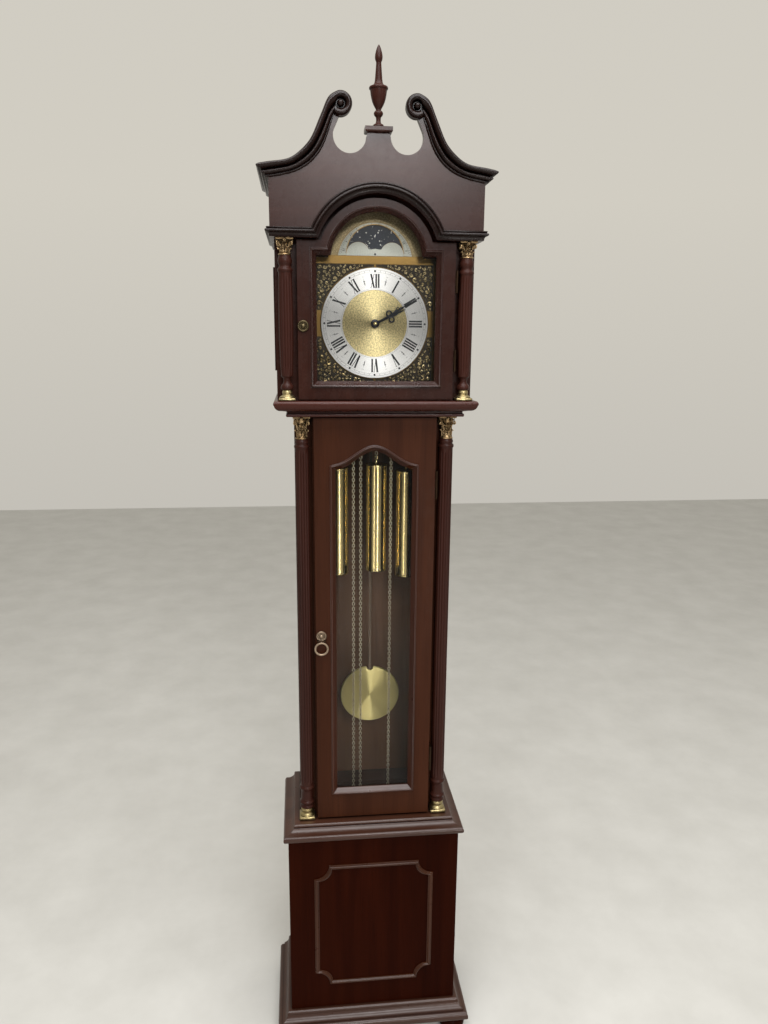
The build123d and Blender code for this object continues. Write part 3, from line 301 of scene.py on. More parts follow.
def math_node(nt, op, a, b=None):
    n = nt.nodes.new("ShaderNodeMath")
    n.operation = op
    for i, v in enumerate((a, b)):
        if v is None:
            continue
        if isinstance(v, (int, float)):
            n.inputs[i].default_value = v
        else:
            nt.links.new(v, n.inputs[i])
    return n.outputs[0]


def bump(nt, b, height, strength, distance):
    n = nt.nodes.new("ShaderNodeBump")
    n.inputs["Strength"].default_value = strength
    n.inputs["Distance"].default_value = distance
    nt.links.new(height, n.inputs["Height"])
    nt.links.new(n.outputs[0], b.inputs["Normal"])
    return n


def wood(name, axis, dark, mid, light, rough=(0.26, 0.40), coat=0.0, spec=0.30, seed=0.0, pore_bump=0.06, pores=0.40, painted_shade_reach=0.0):
    """Stained timber: soft long figure, fine pores along the grain and a thin lacquer, with painted shade in the
    hollows where asked.
    """
    m, nt, b = new_mat(name)
    s = [20.0] * 3
    s[axis] = 1.1
    fig = noise(nt, mapped(nt, s, loc=(seed, seed * 0.7, seed * 1.3)), 1.0, 6.0, 0.60, 0.7)
    col = ramp(nt, fig, [(0.26, dark), (0.52, mid), (0.80, light)])
    s = [620.0] * 3
    s[axis] = 9.0
    pore = noise(nt, mapped(nt, s), 1.0, 3.0, 0.6)
    dots = ramp(nt, pore, [(0.34, 0.45), (0.50, 1.0)])
    col = mix(nt, col, dots, pores, "MULTIPLY")
    s = [5.0] * 3
    s[axis] = 1.6
    cloud = noise(nt, mapped(nt, s, loc=(seed + 3, 1, 2)), 1.0, 3.0, 0.5, 0.4)
    col = mix(nt, col, ramp(nt, cloud, [(0.30, 0.80), (0.72, 1.12)]), 0.8, "MULTIPLY")
    scuff = noise(nt, mapped(nt, (42, 42, 42)), 1.0, 6.0, 0.7)
    # Painted shade: an ambient-occlusion mask darkens the base colour in hollows and recesses, standing in for the
    # shade that falls there.
    if painted_shade_reach:
        ao = nt.nodes.new("ShaderNodeAmbientOcclusion")
        ao.samples = 6
        ao.inputs["Distance"].default_value = painted_shade_reach
        col = mix(nt, col, ramp(nt, ao.outputs["AO"], [(0.35, 0.12), (0.80, 1.0)]), 1.0, "MULTIPLY")
    nt.links.new(col, b.inputs["Base Color"])
    nt.links.new(spread(nt, scuff, rough[0], rough[1]), b.inputs["Roughness"])
    b.inputs["Coat Weight"].default_value = coat
    b.inputs["Coat Roughness"].default_value = 0.18
    b.inputs["Specular IOR Level"].default_value = spec
    bump(nt, b, dots, pore_bump + 0.01, 0.0002)
    return m


def metal(name, base, tint, rough=(0.14, 0.28), scratch=(90, 90, 90), fine=0.05, patina=None, metallic=1.0, worn=(0.35, 0.95)):
    """Brass or steel: tone changes, hairline scratches, and dark patina in the hollows where asked."""
    m, nt, b = new_mat(name)
    cloud = noise(nt, mapped(nt, (14, 14, 14)), 1.0, 5.0, 0.6, 0.3)
    col = ramp(nt, cloud, [(0.30, tint), (0.68, base)])
    hair = noise(nt, mapped(nt, scratch), 6.0, 4.0, 0.65)
    r = spread(nt, hair, rough[0], rough[1])
    if patina:
        ao = nt.nodes.new("ShaderNodeAmbientOcclusion")
        ao.samples = 6
        ao.inputs["Distance"].default_value = 0.005
        grime = noise(nt, mapped(nt, (260, 260, 260)), 1.0, 4.0, 0.6)
        p = math_node(nt, "ADD", spread(nt, ao.outputs["AO"], 0.0, 1.0, *worn), spread(nt, grime, -0.30, 0.30))
        col = mix(nt, patina, col, ramp(nt, p, [(0.15, 0.0), (0.75, 1.0)]))
        r = math_node(nt, "ADD", r, spread(nt, p, 0.30, 0.0, 0.1, 0.8))
    nt.links.new(col, b.inputs["Base Color"])
    nt.links.new(r, b.inputs["Roughness"])
    b.inputs["Metallic"].default_value = metallic
    bump(nt, b, hair, fine, 0.0002)
    return m


def polar(nt, centre):
    """Angle and radius about an axis along Y through centre (metres)."""
    tc = nt.nodes.new("ShaderNodeTexCoord")
    sub = nt.nodes.new("ShaderNodeVectorMath")
    sub.operation = "SUBTRACT"
    sub.inputs[1].default_value = centre
    nt.links.new(tc.outputs["Object"], sub.inputs[0])
    sp = nt.nodes.new("ShaderNodeSeparateXYZ")
    nt.links.new(sub.outputs[0], sp.inputs[0])
    ang = math_node(nt, "ARCTAN2", sp.outputs["Z"], sp.outputs["X"])
    r2 = math_node(nt, "ADD", math_node(nt, "MULTIPLY", sp.outputs["X"], sp.outputs["X"]),
                   math_node(nt, "MULTIPLY", sp.outputs["Z"], sp.outputs["Z"]))
    return sp, ang, math_node(nt, "SQRT", r2)


def sunray(name, centre, base, tint, rough, aniso, rot, grain=0.0, streak=46.0, size=420.0):
    """Disc turned on a lathe: fine rings round its middle, which draw the highlights out into two wedges."""
    m, nt, b = new_mat(name)
    sp, ang, rad = polar(nt, centre)
    cx = nt.nodes.new("ShaderNodeCombineXYZ")
    nt.links.new(math_node(nt, "MULTIPLY", math_node(nt, "COSINE", ang), streak), cx.inputs[0])
    nt.links.new(math_node(nt, "MULTIPLY", math_node(nt, "SINE", ang), streak), cx.inputs[1])
    nt.links.new(math_node(nt, "MULTIPLY", rad, 900.0), cx.inputs[2])
    ray = noise(nt, cx.outputs[0], 1.0, 6.0, 0.7)
    col = ramp(nt, ray, [(0.30, tint), (0.70, base)])
    if grain:
        speck = noise(nt, mapped(nt, (size, size, size)), 1.0, 2.0, 0.6)
        col = mix(nt, col, ramp(nt, speck, [(0.38, 0.50), (0.60, 1.0)]), grain, "MULTIPLY")
    nt.links.new(col, b.inputs["Base Color"])
    nt.links.new(spread(nt, ray, rough[0], rough[1]), b.inputs["Roughness"])
    b.inputs["Metallic"].default_value = 1.0
    b.inputs["Anisotropic"].default_value = aniso
    b.inputs["Anisotropic Rotation"].default_value = rot
    tg = nt.nodes.new("ShaderNodeTangent")
    tg.direction_type = "RADIAL"
    tg.axis = "Y"
    nt.links.new(tg.outputs[0], b.inputs["Tangent"])
    bump(nt, b, speck if grain else ray, 0.14 if grain else 0.06, 0.0002)
    return m


def paint(name, dark, light, rough=(0.35, 0.55), scale=300.0, metallic=0.0, strength=0.06):
    """Painted or lacquered surface with mottled tone and a fine texture."""
    m, nt, b = new_mat(name)
    n1 = noise(nt, mapped(nt, (1, 1, 1)), scale * 0.12, 4.0, 0.6)
    nt.links.new(ramp(nt, n1, [(0.32, dark), (0.68, light)]), b.inputs["Base Color"])
    n2 = noise(nt, mapped(nt, (1, 1, 1)), scale, 4.0, 0.6)
    nt.links.new(spread(nt, n2, rough[0], rough[1]), b.inputs["Roughness"])
    b.inputs["Metallic"].default_value = metallic
    bump(nt, b, n2, strength, 0.0002)
    return m


def silvered(name, centre, dull, bright, metallic):
    """Silvered brass ring, grained round its middle."""
    m, nt, b = new_mat(name)
    sp, ang, rad = polar(nt, centre)
    cx = nt.nodes.new("ShaderNodeCombineXYZ")
    nt.links.new(math_node(nt, "MULTIPLY", math_node(nt, "COSINE", ang), 2.2), cx.inputs[0])
    nt.links.new(math_node(nt, "MULTIPLY", math_node(nt, "SINE", ang), 2.2), cx.inputs[1])
    nt.links.new(math_node(nt, "MULTIPLY", rad, 1500.0), cx.inputs[2])
    ring = noise(nt, cx.outputs[0], 1.0, 4.0, 0.6)
    nt.links.new(ramp(nt, ring, [(0.30, dull), (0.65, bright)]), b.inputs["Base Color"])
    nt.links.new(spread(nt, ring, 0.44, 0.54), b.inputs["Roughness"])
    b.inputs["Metallic"].default_value = metallic
    b.inputs["Anisotropic"].default_value = 0.95
    b.inputs["Anisotropic Rotation"].default_value = 0.25
    tg = nt.nodes.new("ShaderNodeTangent")
    tg.direction_type = "RADIAL"
    tg.axis = "Y"
    nt.links.new(tg.outputs[0], b.inputs["Tangent"])
    bump(nt, b, ring, 0.04, 0.0001)
    return m


def glass(name):
    """Clear pane: nearly all light passes, the surface gloss stays, with faint smears."""
    m, nt, b = new_mat(name)
    smear = noise(nt, mapped(nt, (5, 5, 9)), 2.0, 5.0, 0.6, 0.6)
    nt.links.new(ramp(nt, smear, [(0.30, (0.010, 0.014, 0.013)), (0.75, (0.030, 0.036, 0.034))]), b.inputs["Base Color"])
    nt.links.new(spread(nt, smear, 0.01, 0.05), b.inputs["Roughness"])
    lw = nt.nodes.new("ShaderNodeLayerWeight")
    lw.inputs["Blend"].default_value = 0.22
    nt.links.new(spread(nt, lw.outputs["Fresnel"], 0.085, 0.85, 0.0, 1.0), b.inputs["Alpha"])
    b.inputs["Specular IOR Level"].default_value = 0.8
    return m


M_T = dict(dark=(0.024, 0.0062, 0.0020), mid=(0.035, 0.0098, 0.0035), light=(0.049, 0.0145, 0.0055))
M_B = dict(dark=(0.0115, 0.0015, 0.0004), mid=(0.0175, 0.0026, 0.0007), light=(0.025, 0.0042, 0.0012))
M_D = dict(dark=(0.0055, 0.0018, 0.0013), mid=(0.0090, 0.0031, 0.0022), light=(0.0140, 0.0050, 0.0036))
M_H = dict(dark=(0.019, 0.0056, 0.0036), mid=(0.027, 0.0085, 0.0054), light=(0.037, 0.0122, 0.0078))
WOOD_Z = wood("mahogany_upright", 2, **M_T, rough=(0.32, 0.46), spec=0.08)
WOOD_HOOD = wood("mahogany_hood", 2, **M_H, rough=(0.22, 0.32), spec=0.16, seed=3.0)
WOOD_X = wood("mahogany_across", 0, **M_H, rough=(0.25, 0.30), spec=0.24, seed=2.0, pore_bump=0.0)
WOOD_BASE = wood("mahogany_base", 2, **M_B, rough=(0.32, 0.44), spec=0.02, seed=4.0)
# swan necks and arch moulding: painted shade darkens their hollows
WOOD_DX = wood("mahogany_moulding_across", 0, **M_D, rough=(0.24, 0.30), spec=0.22, seed=6.0, pore_bump=0.0, pores=0.15, painted_shade_reach=0.012)
# turned columns and finial: painted shade darkens their hollows
WOOD_DZ = wood("mahogany_turned", 2, (0.019, 0.0052, 0.0034), (0.029, 0.0082, 0.0052), (0.041, 0.0122, 0.0078), rough=(0.30, 0.42), spec=0.13, seed=8.0,
               pore_bump=0.0, pores=0.15, painted_shade_reach=0.008)
WOOD_EDGE = wood("mahogany_door_bead", 2, (0.017, 0.0048, 0.0034), (0.025, 0.0074, 0.0050), (0.035, 0.0110, 0.0074), rough=(0.22, 0.30), spec=0.45,
                 seed=12.0, pore_bump=0.0, pores=0.15)
WOOD_BEAD = wood("mahogany_bead", 2, (0.026, 0.0072, 0.0034), (0.037, 0.0108, 0.0052), (0.050, 0.0155, 0.0078), rough=(0.27, 0.36), spec=0.40,
                 seed=5.0, pore_bump=0.0, pores=0.15)
# Painted light: the base panel bead is a lighter copy of the base mahogany, standing in for the light its rounded faces
# catch.
WOOD_LINE_LIT = wood("mahogany_panel_bead_painted_light", 2, (0.025, 0.0064, 0.0017), (0.035, 0.0096, 0.0028), (0.047, 0.0138, 0.0043), rough=(0.26, 0.34), spec=0.23,
                 seed=5.0, pore_bump=0.0, pores=0.15)
# Painted light: a lighter copy of the base mahogany, standing in for the light the upward faces of the plinth and waist
# mouldings catch from above; painted shade also darkens their recesses.
WOOD_TOP_LIT = wood("mahogany_ledge_painted_light", 0, (0.030, 0.0100, 0.0052), (0.043, 0.0155, 0.0082), (0.058, 0.0225, 0.0122), rough=(0.26, 0.36), spec=0.37,
                seed=7.0, pore_bump=0.0, pores=0.2, painted_shade_reach=0.010)
# hood base moulding: painted shade darkens its hollows
WOOD_CORNICE = wood("mahogany_hood_base", 0, (0.030, 0.0066, 0.0040), (0.044, 0.0102, 0.0062), (0.060, 0.0150, 0.0094), rough=(0.24, 0.34), spec=0.18,
                    seed=11.0, pore_bump=0.0, pores=0.2, painted_shade_reach=0.010)
WOOD_BACK = wood("panel_wood", 2, (0.125, 0.062, 0.034), (0.185, 0.096, 0.053), (0.245, 0.132, 0.076), rough=(0.4, 0.55),
                 spec=0.2, seed=9.0)
BRASS = metal("polished_brass", (0.78, 0.63, 0.30), (0.72, 0.57, 0.26), rough=(0.185, 0.195), scratch=(40, 40, 0.5), fine=0.0)
BRASS_MOV = metal("movement_brass", (0.74, 0.53, 0.20), (0.60, 0.41, 0.14), rough=(0.22, 0.38))
BRASS_CHAIN = metal("chain_brass", (0.74, 0.65, 0.47), (0.56, 0.47, 0.32), rough=(0.26, 0.40), patina=(0.02, 0.014, 0.008), metallic=0.6, worn=(0.45, 1.0))
BRASS_OLD = metal("antique_brass", (0.29, 0.215, 0.150), (0.20, 0.145, 0.098), rough=(0.36, 0.48), patina=(0.040, 0.026, 0.014), metallic=0.75)
ROSETTE = metal("rosette_bronze", (0.105, 0.082, 0.044), (0.060, 0.045, 0.024), rough=(0.34, 0.48), patina=(0.012, 0.008, 0.004))
ROD = metal("rod_bronze", (0.15, 0.11, 0.08), (0.10, 0.074, 0.054), rough=(0.40, 0.55))
HINGE = metal("hinge_bronze", (0.040, 0.024, 0.014), (0.022, 0.013, 0.008), rough=(0.4, 0.6))
GILT = metal("antique_gilt", (0.56, 0.40, 0.22), (0.26, 0.165, 0.08), rough=(0.24, 0.38), patina=(0.010, 0.005, 0.003), worn=(0.62, 1.0))
GILT_PALE = metal("gilt_pale", (0.42, 0.345, 0.18), (0.29, 0.225, 0.105), rough=(0.28, 0.42), patina=(0.05, 0.032, 0.016))
GILT_DARK = metal("spandrel_gilt", (0.74, 0.60, 0.33), (0.36, 0.26, 0.11), rough=(0.22, 0.36), patina=(0.012, 0.008, 0.004), worn=(0.50, 1.0))
DIAL_BRASS = metal("dial_brass", (0.27, 0.165, 0.052), (0.22, 0.135, 0.042), rough=(0.28, 0.38), scratch=(3, 40, 40), fine=0.02)
STEEL = metal("steel", (0.52, 0.52, 0.53), (0.38, 0.38, 0.39), rough=(0.22, 0.40))
BLACK = paint("black_steel", (0.008, 0.008, 0.010), (0.022, 0.022, 0.027), rough=(0.25, 0.42), metallic=0.5)
INK = paint("numeral_black", (0.006, 0.006, 0.006), (0.016, 0.016, 0.017), rough=(0.4, 0.6))
GREY_INK = paint("engraved_grey", (0.16, 0.16, 0.15), (0.26, 0.26, 0.25), rough=(0.5, 0.7))
NAVY = paint("moon_blue", (0.0075, 0.0098, 0.0165), (0.0135, 0.0165, 0.0285), rough=(0.45, 0.6))
STAR = paint("star_white", (0.72, 0.70, 0.60), (0.92, 0.91, 0.86), rough=(0.4, 0.6))
MOON = paint("moon_cream", (0.68, 0.62, 0.46), (0.90, 0.86, 0.72), rough=(0.4, 0.6), scale=120)
# Painted shade: the near-black spandrel ground stands in for the shade in the gaps between the gilt scrolls.
PAINTED_SHADE_GROUND = paint("spandrel_ground", (0.016, 0.011, 0.006), (0.045, 0.031, 0.014), rough=(0.45, 0.7), scale=700, metallic=0.5, strength=0.5)
GILT_OLD = metal("surround_gilt", (0.50, 0.40, 0.215), (0.34, 0.26, 0.125), rough=(0.30, 0.44), patina=(0.05, 0.034, 0.015), metallic=0.55)
ENGRAVED = metal("engraved_brass", (0.30, 0.23, 0.115), (0.12, 0.088, 0.040), rough=(0.30, 0.5), scratch=(160, 160, 160), fine=0.5, metallic=0.55)
SILVER = silvered("silvered", (0, 0, 0), (0.80, 0.79, 0.76), (0.95, 0.94, 0.91), 0.62)
SILVER_M = silvered("silvered_lunar", (0, 0, 0), (0.42, 0.43, 0.37), (0.56, 0.57, 0.50), 0.30)
SUN_DIAL = sunray("dial_centre_gilt", (0, 0, 0), (1.0, 0.88, 0.50), (0.90, 0.74, 0.37), (0.52, 0.60), 0.92, 0.25, grain=0.85, size=330.0)
SUN_BOB = sunray("bob_brass", (0, 0, 0), (0.60, 0.515, 0.222), (0.51, 0.43, 0.184), (0.38, 0.42), 0.98, 0.25, streak=3.0)
GLASS = glass("clear_glass")

FINISH = {
    WOOD_Z: ["trunk_sides", "trunk_face_frame", "trunk_door"],
    WOOD_HOOD: ["hood_sides", "hood_mask", "hood_door", "finial_cap"],
    WOOD_BASE: ["base_front", "base_sides", "bun_feet"],
    WOOD_X: ["tympanum", "hood_roof"],
    # plinth and waist mouldings take the lighter copy of the mahogany, which paints the light on their tops
    WOOD_TOP_LIT: ["plinth_board", "plinth_moulding", "waist_moulding"],
    WOOD_CORNICE: ["hood_base_moulding"],
    WOOD_BACK: ["back_panels", "seat_board"],
    GLASS: ["trunk_door_glass", "hood_door_glass"],
    BRASS_MOV: ["movement_plates", "great_wheel", "centre_wheel", "third_wheel", "escape_wheel", "minute_wheel", "hour_wheel",
                "cannon_pinion", "sprocket_left", "sprocket_centre", "sprocket_right"],
    BRASS_OLD: ["ring_pull", "ring_pull_boss"],
    ROSETTE: ["hood_door_knob"],
    HINGE: ["case_hinge_leaves", "trunk_door_leaves", "hood_door_leaves"],
    STEEL: ["anchor", "chime_rods", "hammers"],
    ROD: ["pendulum_rod"],
    DIAL_BRASS: ["dial_plate"],
    NAVY: ["moon_disc"],
}
for mat, names in FINISH.items():
    for n in names:
        me = NODES[n].data
        me.materials.clear()
        me.materials.append(mat)


# ------------------------------------------------------------------ mouldings that follow an outline
def ring_sweep(geo, outline, profile):
    """Closed moulding: outline(d) gives the points at offset d, the profile is a closed list of (d, y)."""
    rows = [[(x, y, z) for x, z in outline(d)] for d, y in profile]
    geo.grid(rows, close_u=True, close_v=True)


def arc(c, r, a0, a1, n):
    return [(c[0] + r * math.cos(a0 + (a1 - a0) * i / n), c[1] + r * math.sin(a0 + (a1 - a0) * i / n)) for i in range(n + 1)]


def panel_outline(d):
    hw, z0, z1, r = 128.0 + d, 161.0 - d, 464.0 + d, 30.2 + 0.414 * d
    out = []
    for cx, cz, a in ((hw, z0, PI), (hw, z1, 1.5 * PI), (-hw, z1, 2 * PI), (-hw, z0, 2.5 * PI)):
        out += arc((cx, cz), r, a, a - PI / 2, 14)
    return out


g = Geo()
ring_sweep(g, panel_outline, [(0, -102.0), (0, -103.6), (1.6, -104.0), (2.2, -105.4), (3.6, -107.2), (5.4, -108.0), (7.2, -107.6),
                              (8.4, -106.2), (8.8, -104.6), (10.4, -104.2), (11, -103.2), (11, -102.0)])
# the bead uses the lighter, painted-light copy of the base mahogany
piece("base_panel_bead", g, WOOD_LINE_LIT, "case", ["base_panel_moulding"])


def window_outline(d):
    cx, hw, z0, sh, top = -1.5, 81.5 + d, 652.0 - d, 1394.0 + 0.75 * d, 1433.0 + d
    k = top - sh
    head = spline([(hw, sh), (0.74 * hw, sh + 0.17 * k), (0.42 * hw, sh + 0.61 * k), (0, top), (-0.42 * hw, sh + 0.61 * k),
                   (-0.74 * hw, sh + 0.17 * k), (-hw, sh)], 49)
    return [(cx - hw, z0), (cx + hw, z0)] + [(cx + p[0], p[1]) for p in head]


g = Geo()
ring_sweep(g, window_outline, [(-0.3, -66.1), (-0.3, -68.4), (0.0, -69.0), (3.6, -73.0), (7.2, -77.0), (7.6, -78.0), (8.3, -79.0), (9.3, -79.5),
                               (10.4, -79.1), (11.1, -78.0), (11.4, -76.4), (11.5, -75.4), (12.5, -75.1), (12.7, -73.9), (11.1, -73.8), (9.6, -75.2),
                               (5.2, -70.6), (1.2, -66.1)])
piece("trunk_door_bead", g, WOOD_BEAD, "trunk_door")


def arched_outline(hw, z0, sh, r, zc=1811.0, n=40):
    a = math.asin((sh - zc) / r)
    return [(-hw, z0), (hw, z0), (hw, sh)] + arc((0, zc), r, a, PI - a, n) + [(-hw, sh)]


def hood_outline(d):
    return arched_outline(119.0 + d, 1577.5 - d, 1820.5 + d, 91.0 + d * 10 / 12)


g = Geo()
ring_sweep(g, hood_outline, [(-0.3, -80.1), (-0.3, -82.2), (0.0, -82.8), (3.8, -87.6), (7.6, -92.0), (8.0, -92.8), (8.8, -93.6), (9.9, -93.9),
                             (11.0, -93.4), (11.7, -92.3), (12.0, -91.0), (12.2, -90.4), (13.0, -90.2), (13.2, -89.4), (11.8, -89.3), (9.8, -90.6),
                             (5.0, -84.6), (1.2, -80.1)])
piece("hood_door_bead", g, WOOD_EDGE, "hood_door")

# ------------------------------------------------------------------ arch moulding over the dial, with its side returns
prof = [(0.0, 0.0), (0.0, 0.9), (0.06, 1.1), (0.16, 1.3), (0.26, 1.8), (0.34, 2.7), (0.41, 4.2), (0.46, 6.0), (0.49, 7.8), (0.52, 8.5), (0.57, 8.95),
        (0.63, 9.0), (0.69, 8.6), (0.73, 7.8), (0.745, 6.6), (0.76, 5.6), (0.79, 5.3), (0.82, 5.6), (0.85, 6.2), (0.89, 6.6), (0.93, 6.4), (0.97, 5.4),
        (0.995, 3.8), (1.0, 2.0), (1.0, 0.0)]
rows = []
for t, d in prof:
    z, r = 1850.02 + 17.98 * t, 121.0 + 20.0 * t
    a = math.asin((z - 1811.0) / r)
    x, y = r * math.cos(a), -104.52 - d
    row = [(-207.0 - d, 134.0, z), (-207.0 - d, y, z), (-0.5 * (207.0 + d + x), y, z)]
    row += [(p[0], y, p[1]) for p in reversed(arc((0, 1811.0), r, a, PI - a, 64))]
    row += [(0.5 * (207.0 + d + x), y, z), (207.0 + d, y, z), (207.0 + d, 134.0, z)]
    rows.append(row)
g = Geo()
g.grid(rows, close_u=True)
n = len(rows[0])
for j in (0, n - 1):
    g.f.append(tuple(i * n + j for i in range(len(rows))))
    g.m.append(0)
piece("arch_moulding_run", g, WOOD_DX, "case", ["arch_moulding"], sharp=50)

# ------------------------------------------------------------------ swan necks with their scrolls and side returns
TOP = spline([(-229.0, 1977.0), (-202.5, 1981.8), (-166.0, 1989.0), (-147.0, 2002.0), (-129.0, 2021.5), (-114.5, 2051.0),
              (-103.0, 2077.0), (-91.5, 2097.5), (-76.0, 2106.2)], 64)
LOW = spline([(-207.1, 1954.6), (-166.3, 1962.9), (-138.2, 1975.1), (-119.4, 1990.5), (-104.3, 2011.7), (-94.8, 2034.4),
              (-85.0, 2062.0)], 64)
CS = (-71.5, 2085.0)
T0 = 0.54
COVE = [(0.0, 0.0), (0.0, 2.4), (0.02, 3.6), (0.06, 4.5), (0.11, 4.5), (0.14, 3.6), (0.155, 3.0), (0.17, 3.6), (0.19, 5.4), (0.24, 7.6), (0.31, 9.0),
        (0.38, 9.2), (0.44, 8.2), (0.48, 6.2), (0.50, 4.8), (T0, 4.2)]
ROLL = [(0.0, 4.2), (0.02, 5.8), (0.07, 8.0), (0.15, 10.2), (0.25, 12.2), (0.37, 13.8), (0.50, 14.8), (0.62, 15.0), (0.74, 14.7), (0.85, 13.4), (0.93, 11.2),
        (0.98, 8.4), (1.0, 6.0), (1.0, 0.0)]


g = Geo()
for s in (-1, 1):
    def across(k, t, d):
        x, z = LOW[k] * (1 - t) + TOP[k] * t
        if k == 0:
            x, z = -(207.0 + d * 22 / 15), 1954.62 + 22.4 * t
        return x, z

    def side_return(t, d):
        return s * (207.0 + d * 22 / 15), 134.0, 1954.62 + 22.4 * t

    # cove and small beads along the lower edge, with the return along the side
    rows = []
    for t, d in COVE + [(T0, 0.0)]:
        row = [side_return(t, d)]
        for k in range(64):
            x, z = across(k, t, d)
            row.append((-s * x, -104.52 - d, z))
        rows.append(row)
    k0 = len(g.v)
    g.grid(rows, close_u=True)
    n = len(rows[0])
    for j in (0, n - 1):
        g.f.append(tuple(k0 + i * n + j for i in range(len(rows))))
        g.m.append(0)
    # the roll, which runs on round the scroll to its foot
    rows = []
    i_end = LOW[63] * (1 - T0) + TOP[63] * T0
    ri = math.hypot(i_end[0] - CS[0], i_end[1] - CS[1])
    ai = math.atan2(i_end[1] - CS[1], i_end[0] - CS[0]) % (2 * PI)
    ao = math.atan2(TOP[63][1] - CS[1], TOP[63][0] - CS[0])
    ro = math.hypot(TOP[63][0] - CS[0], TOP[63][1] - CS[1])
    last = math.radians(-128)
    for q, d in [(0.0, 0.0)] + ROLL:
        t = T0 + (1 - T0) * q
        row = [side_return(t, d)]
        for k in range(64):
            x, z = across(k, t, d)
            row.append((-s * x, -104.52 - d, z))
        for k in range(1, 61):
            u = k / 60
            a_o, a_i = ao + (last - ao) * u, ai + (last - ai) * min(1.0, u * 1.08)
            r_o, r_i = ro - 0.9 * u ** 3, ri + (8.6 - ri) * min(1.0, 3 * u)
            o = (CS[0] + r_o * math.cos(a_o), CS[1] + r_o * math.sin(a_o))
            i = (CS[0] + r_i * math.cos(a_i), CS[1] + r_i * math.sin(a_i))
            dd = d * (1 - 0.12 * u)
            row.append((-s * (i[0] + (o[0] - i[0]) * q), -104.52 - dd, i[1] + (o[1] - i[1]) * q))
        rows.append(row)
    k0 = len(g.v)
    g.grid(rows, close_u=True)
    n = len(rows[0])
    for j in (0, n - 1):
        g.f.append(tuple(k0 + i * n + j for i in range(len(rows))))
        g.m.append(0)
    # ground of the scroll and its round eye
    g.lathe([(0.01, 93.0), (20.6, 93.0), (20.8, 94.0), (20.8, 107.6), (20.2, 108.2), (9.4, 108.2), (8.4, 107.8), (7.0, 107.8), (6.5, 109.0), (6.3, 111.4),
             (5.6, 114.0), (4.2, 116.2), (2.4, 117.4), (0.01, 117.8)], (s * 71.5, 0, 2085.0), axis="y", seg=60)
piece("swan_neck_run", g, WOOD_DX, "case", ["swan_necks"], sharp=50)

# ------------------------------------------------------------------ turned work
FINIAL = [(0.01, 2046.05), (9.6, 2046.05), (10.4, 2047.2), (10.4, 2049.4), (9.4, 2051.2), (6.4, 2052.6), (5.0, 2054.4), (4.5, 2057.0),
          (4.4, 2060.5), (4.9, 2063.2), (5.6, 2064.4), (7.6, 2066.2), (8.7, 2068.6), (8.8, 2070.4), (7.8, 2072.6), (5.8, 2074.2), (5.0, 2075.2),
          (5.0, 2076.6), (6.6, 2079.0), (9.2, 2083.4), (11.6, 2088.4), (13.4, 2094.0), (14.8, 2100.4), (15.6, 2106.4), (15.9, 2108.8),
          (17.4, 2109.6), (17.8, 2110.6), (17.8, 2112.4), (17.0, 2113.6), (14.6, 2114.6), (11.2, 2116.0), (8.8, 2118.4), (7.6, 2121.4),
          (6.9, 2126.0), (6.1, 2136.0), (5.3, 2146.0), (4.9, 2151.6), (5.0, 2154.0), (6.2, 2156.2), (7.0, 2159.4), (7.2, 2162.4),
          (6.7, 2166.4), (5.4, 2171.6), (3.8, 2176.2), (2.0, 2180.0), (0.9, 2181.6), (0.01, 2182.0)]
FINIAL = [(r, 2048.05 + (z - 2046.05) * 141.4 / 135.95) for r, z in FINIAL]
g = Geo()
g.lathe([(r, z) for r, z in FINIAL], (0, -97.0, 0), seg=48)
piece("finial_turning", g, WOOD_DZ, "case", ["finial"], sharp=50)


def column(geo, x, y, prof, shaft, reeds, depth):
    """Turned column; between the shaft heights its surface is carved in upright reeds."""
    z0, z1 = shaft

    def mod(r, z, a):
        if z < z0 or z > z1:
            return r
        k = min(1.0, (z - z0) / 10.0, (z1 - z) / 10.0)
        return r - depth * k * (1 - abs(math.cos(reeds * a / 2)))

    geo.lathe(prof, (x, y, 0), seg=reeds * 10, mod=mod)


def steps(r0, z0, r1, z1, n):
    return [(r0 + (r1 - r0) * i / n, z0 + (z1 - z0) * i / n) for i in range(n + 1)]


g = Geo()
for s in (-1, 1):
    p = [(0.01, 605.1), (15.2, 605.1), (15.6, 606.0), (15.6, 608.4), (14.6, 610.0), (13.8, 611.6), (13.7, 613.6), (14.6, 615.2), (16.2, 617.0),
         (16.7, 618.6), (16.2, 620.4), (14.6, 622.2), (13.8, 623.6), (13.5, 630.0), (13.4, 640.0), (13.5, 647.0), (14.0, 650.0), (15.6, 652.2),
         (16.7, 654.6), (16.7, 656.6), (15.7, 658.8), (14.4, 660.6), (14.2, 662.0)]
    p += steps(14.6, 663.0, 14.6, 675.0, 8) + steps(14.6, 680.0, 14.5, 1424.0, 30) + steps(14.5, 1427.0, 14.4, 1437.0, 8)
    p += [(14.6, 1438.4), (15.9, 1440.0), (16.1, 1441.6), (16.1, 1443.6), (15.4, 1445.0), (13.8, 1446.4), (13.2, 1447.6), (13.9, 1449.2), (14.6, 1451.4),
          (14.2, 1453.6), (13.3, 1455.4), (13.1, 1457.9), (0.01, 1457.9)]
    column(g, s * 152.2, -59.0, p, (663.0, 1437.0), 12, 1.7)
piece("trunk_column_turnings", g, WOOD_DZ, "case", ["trunk_columns"], sharp=60)

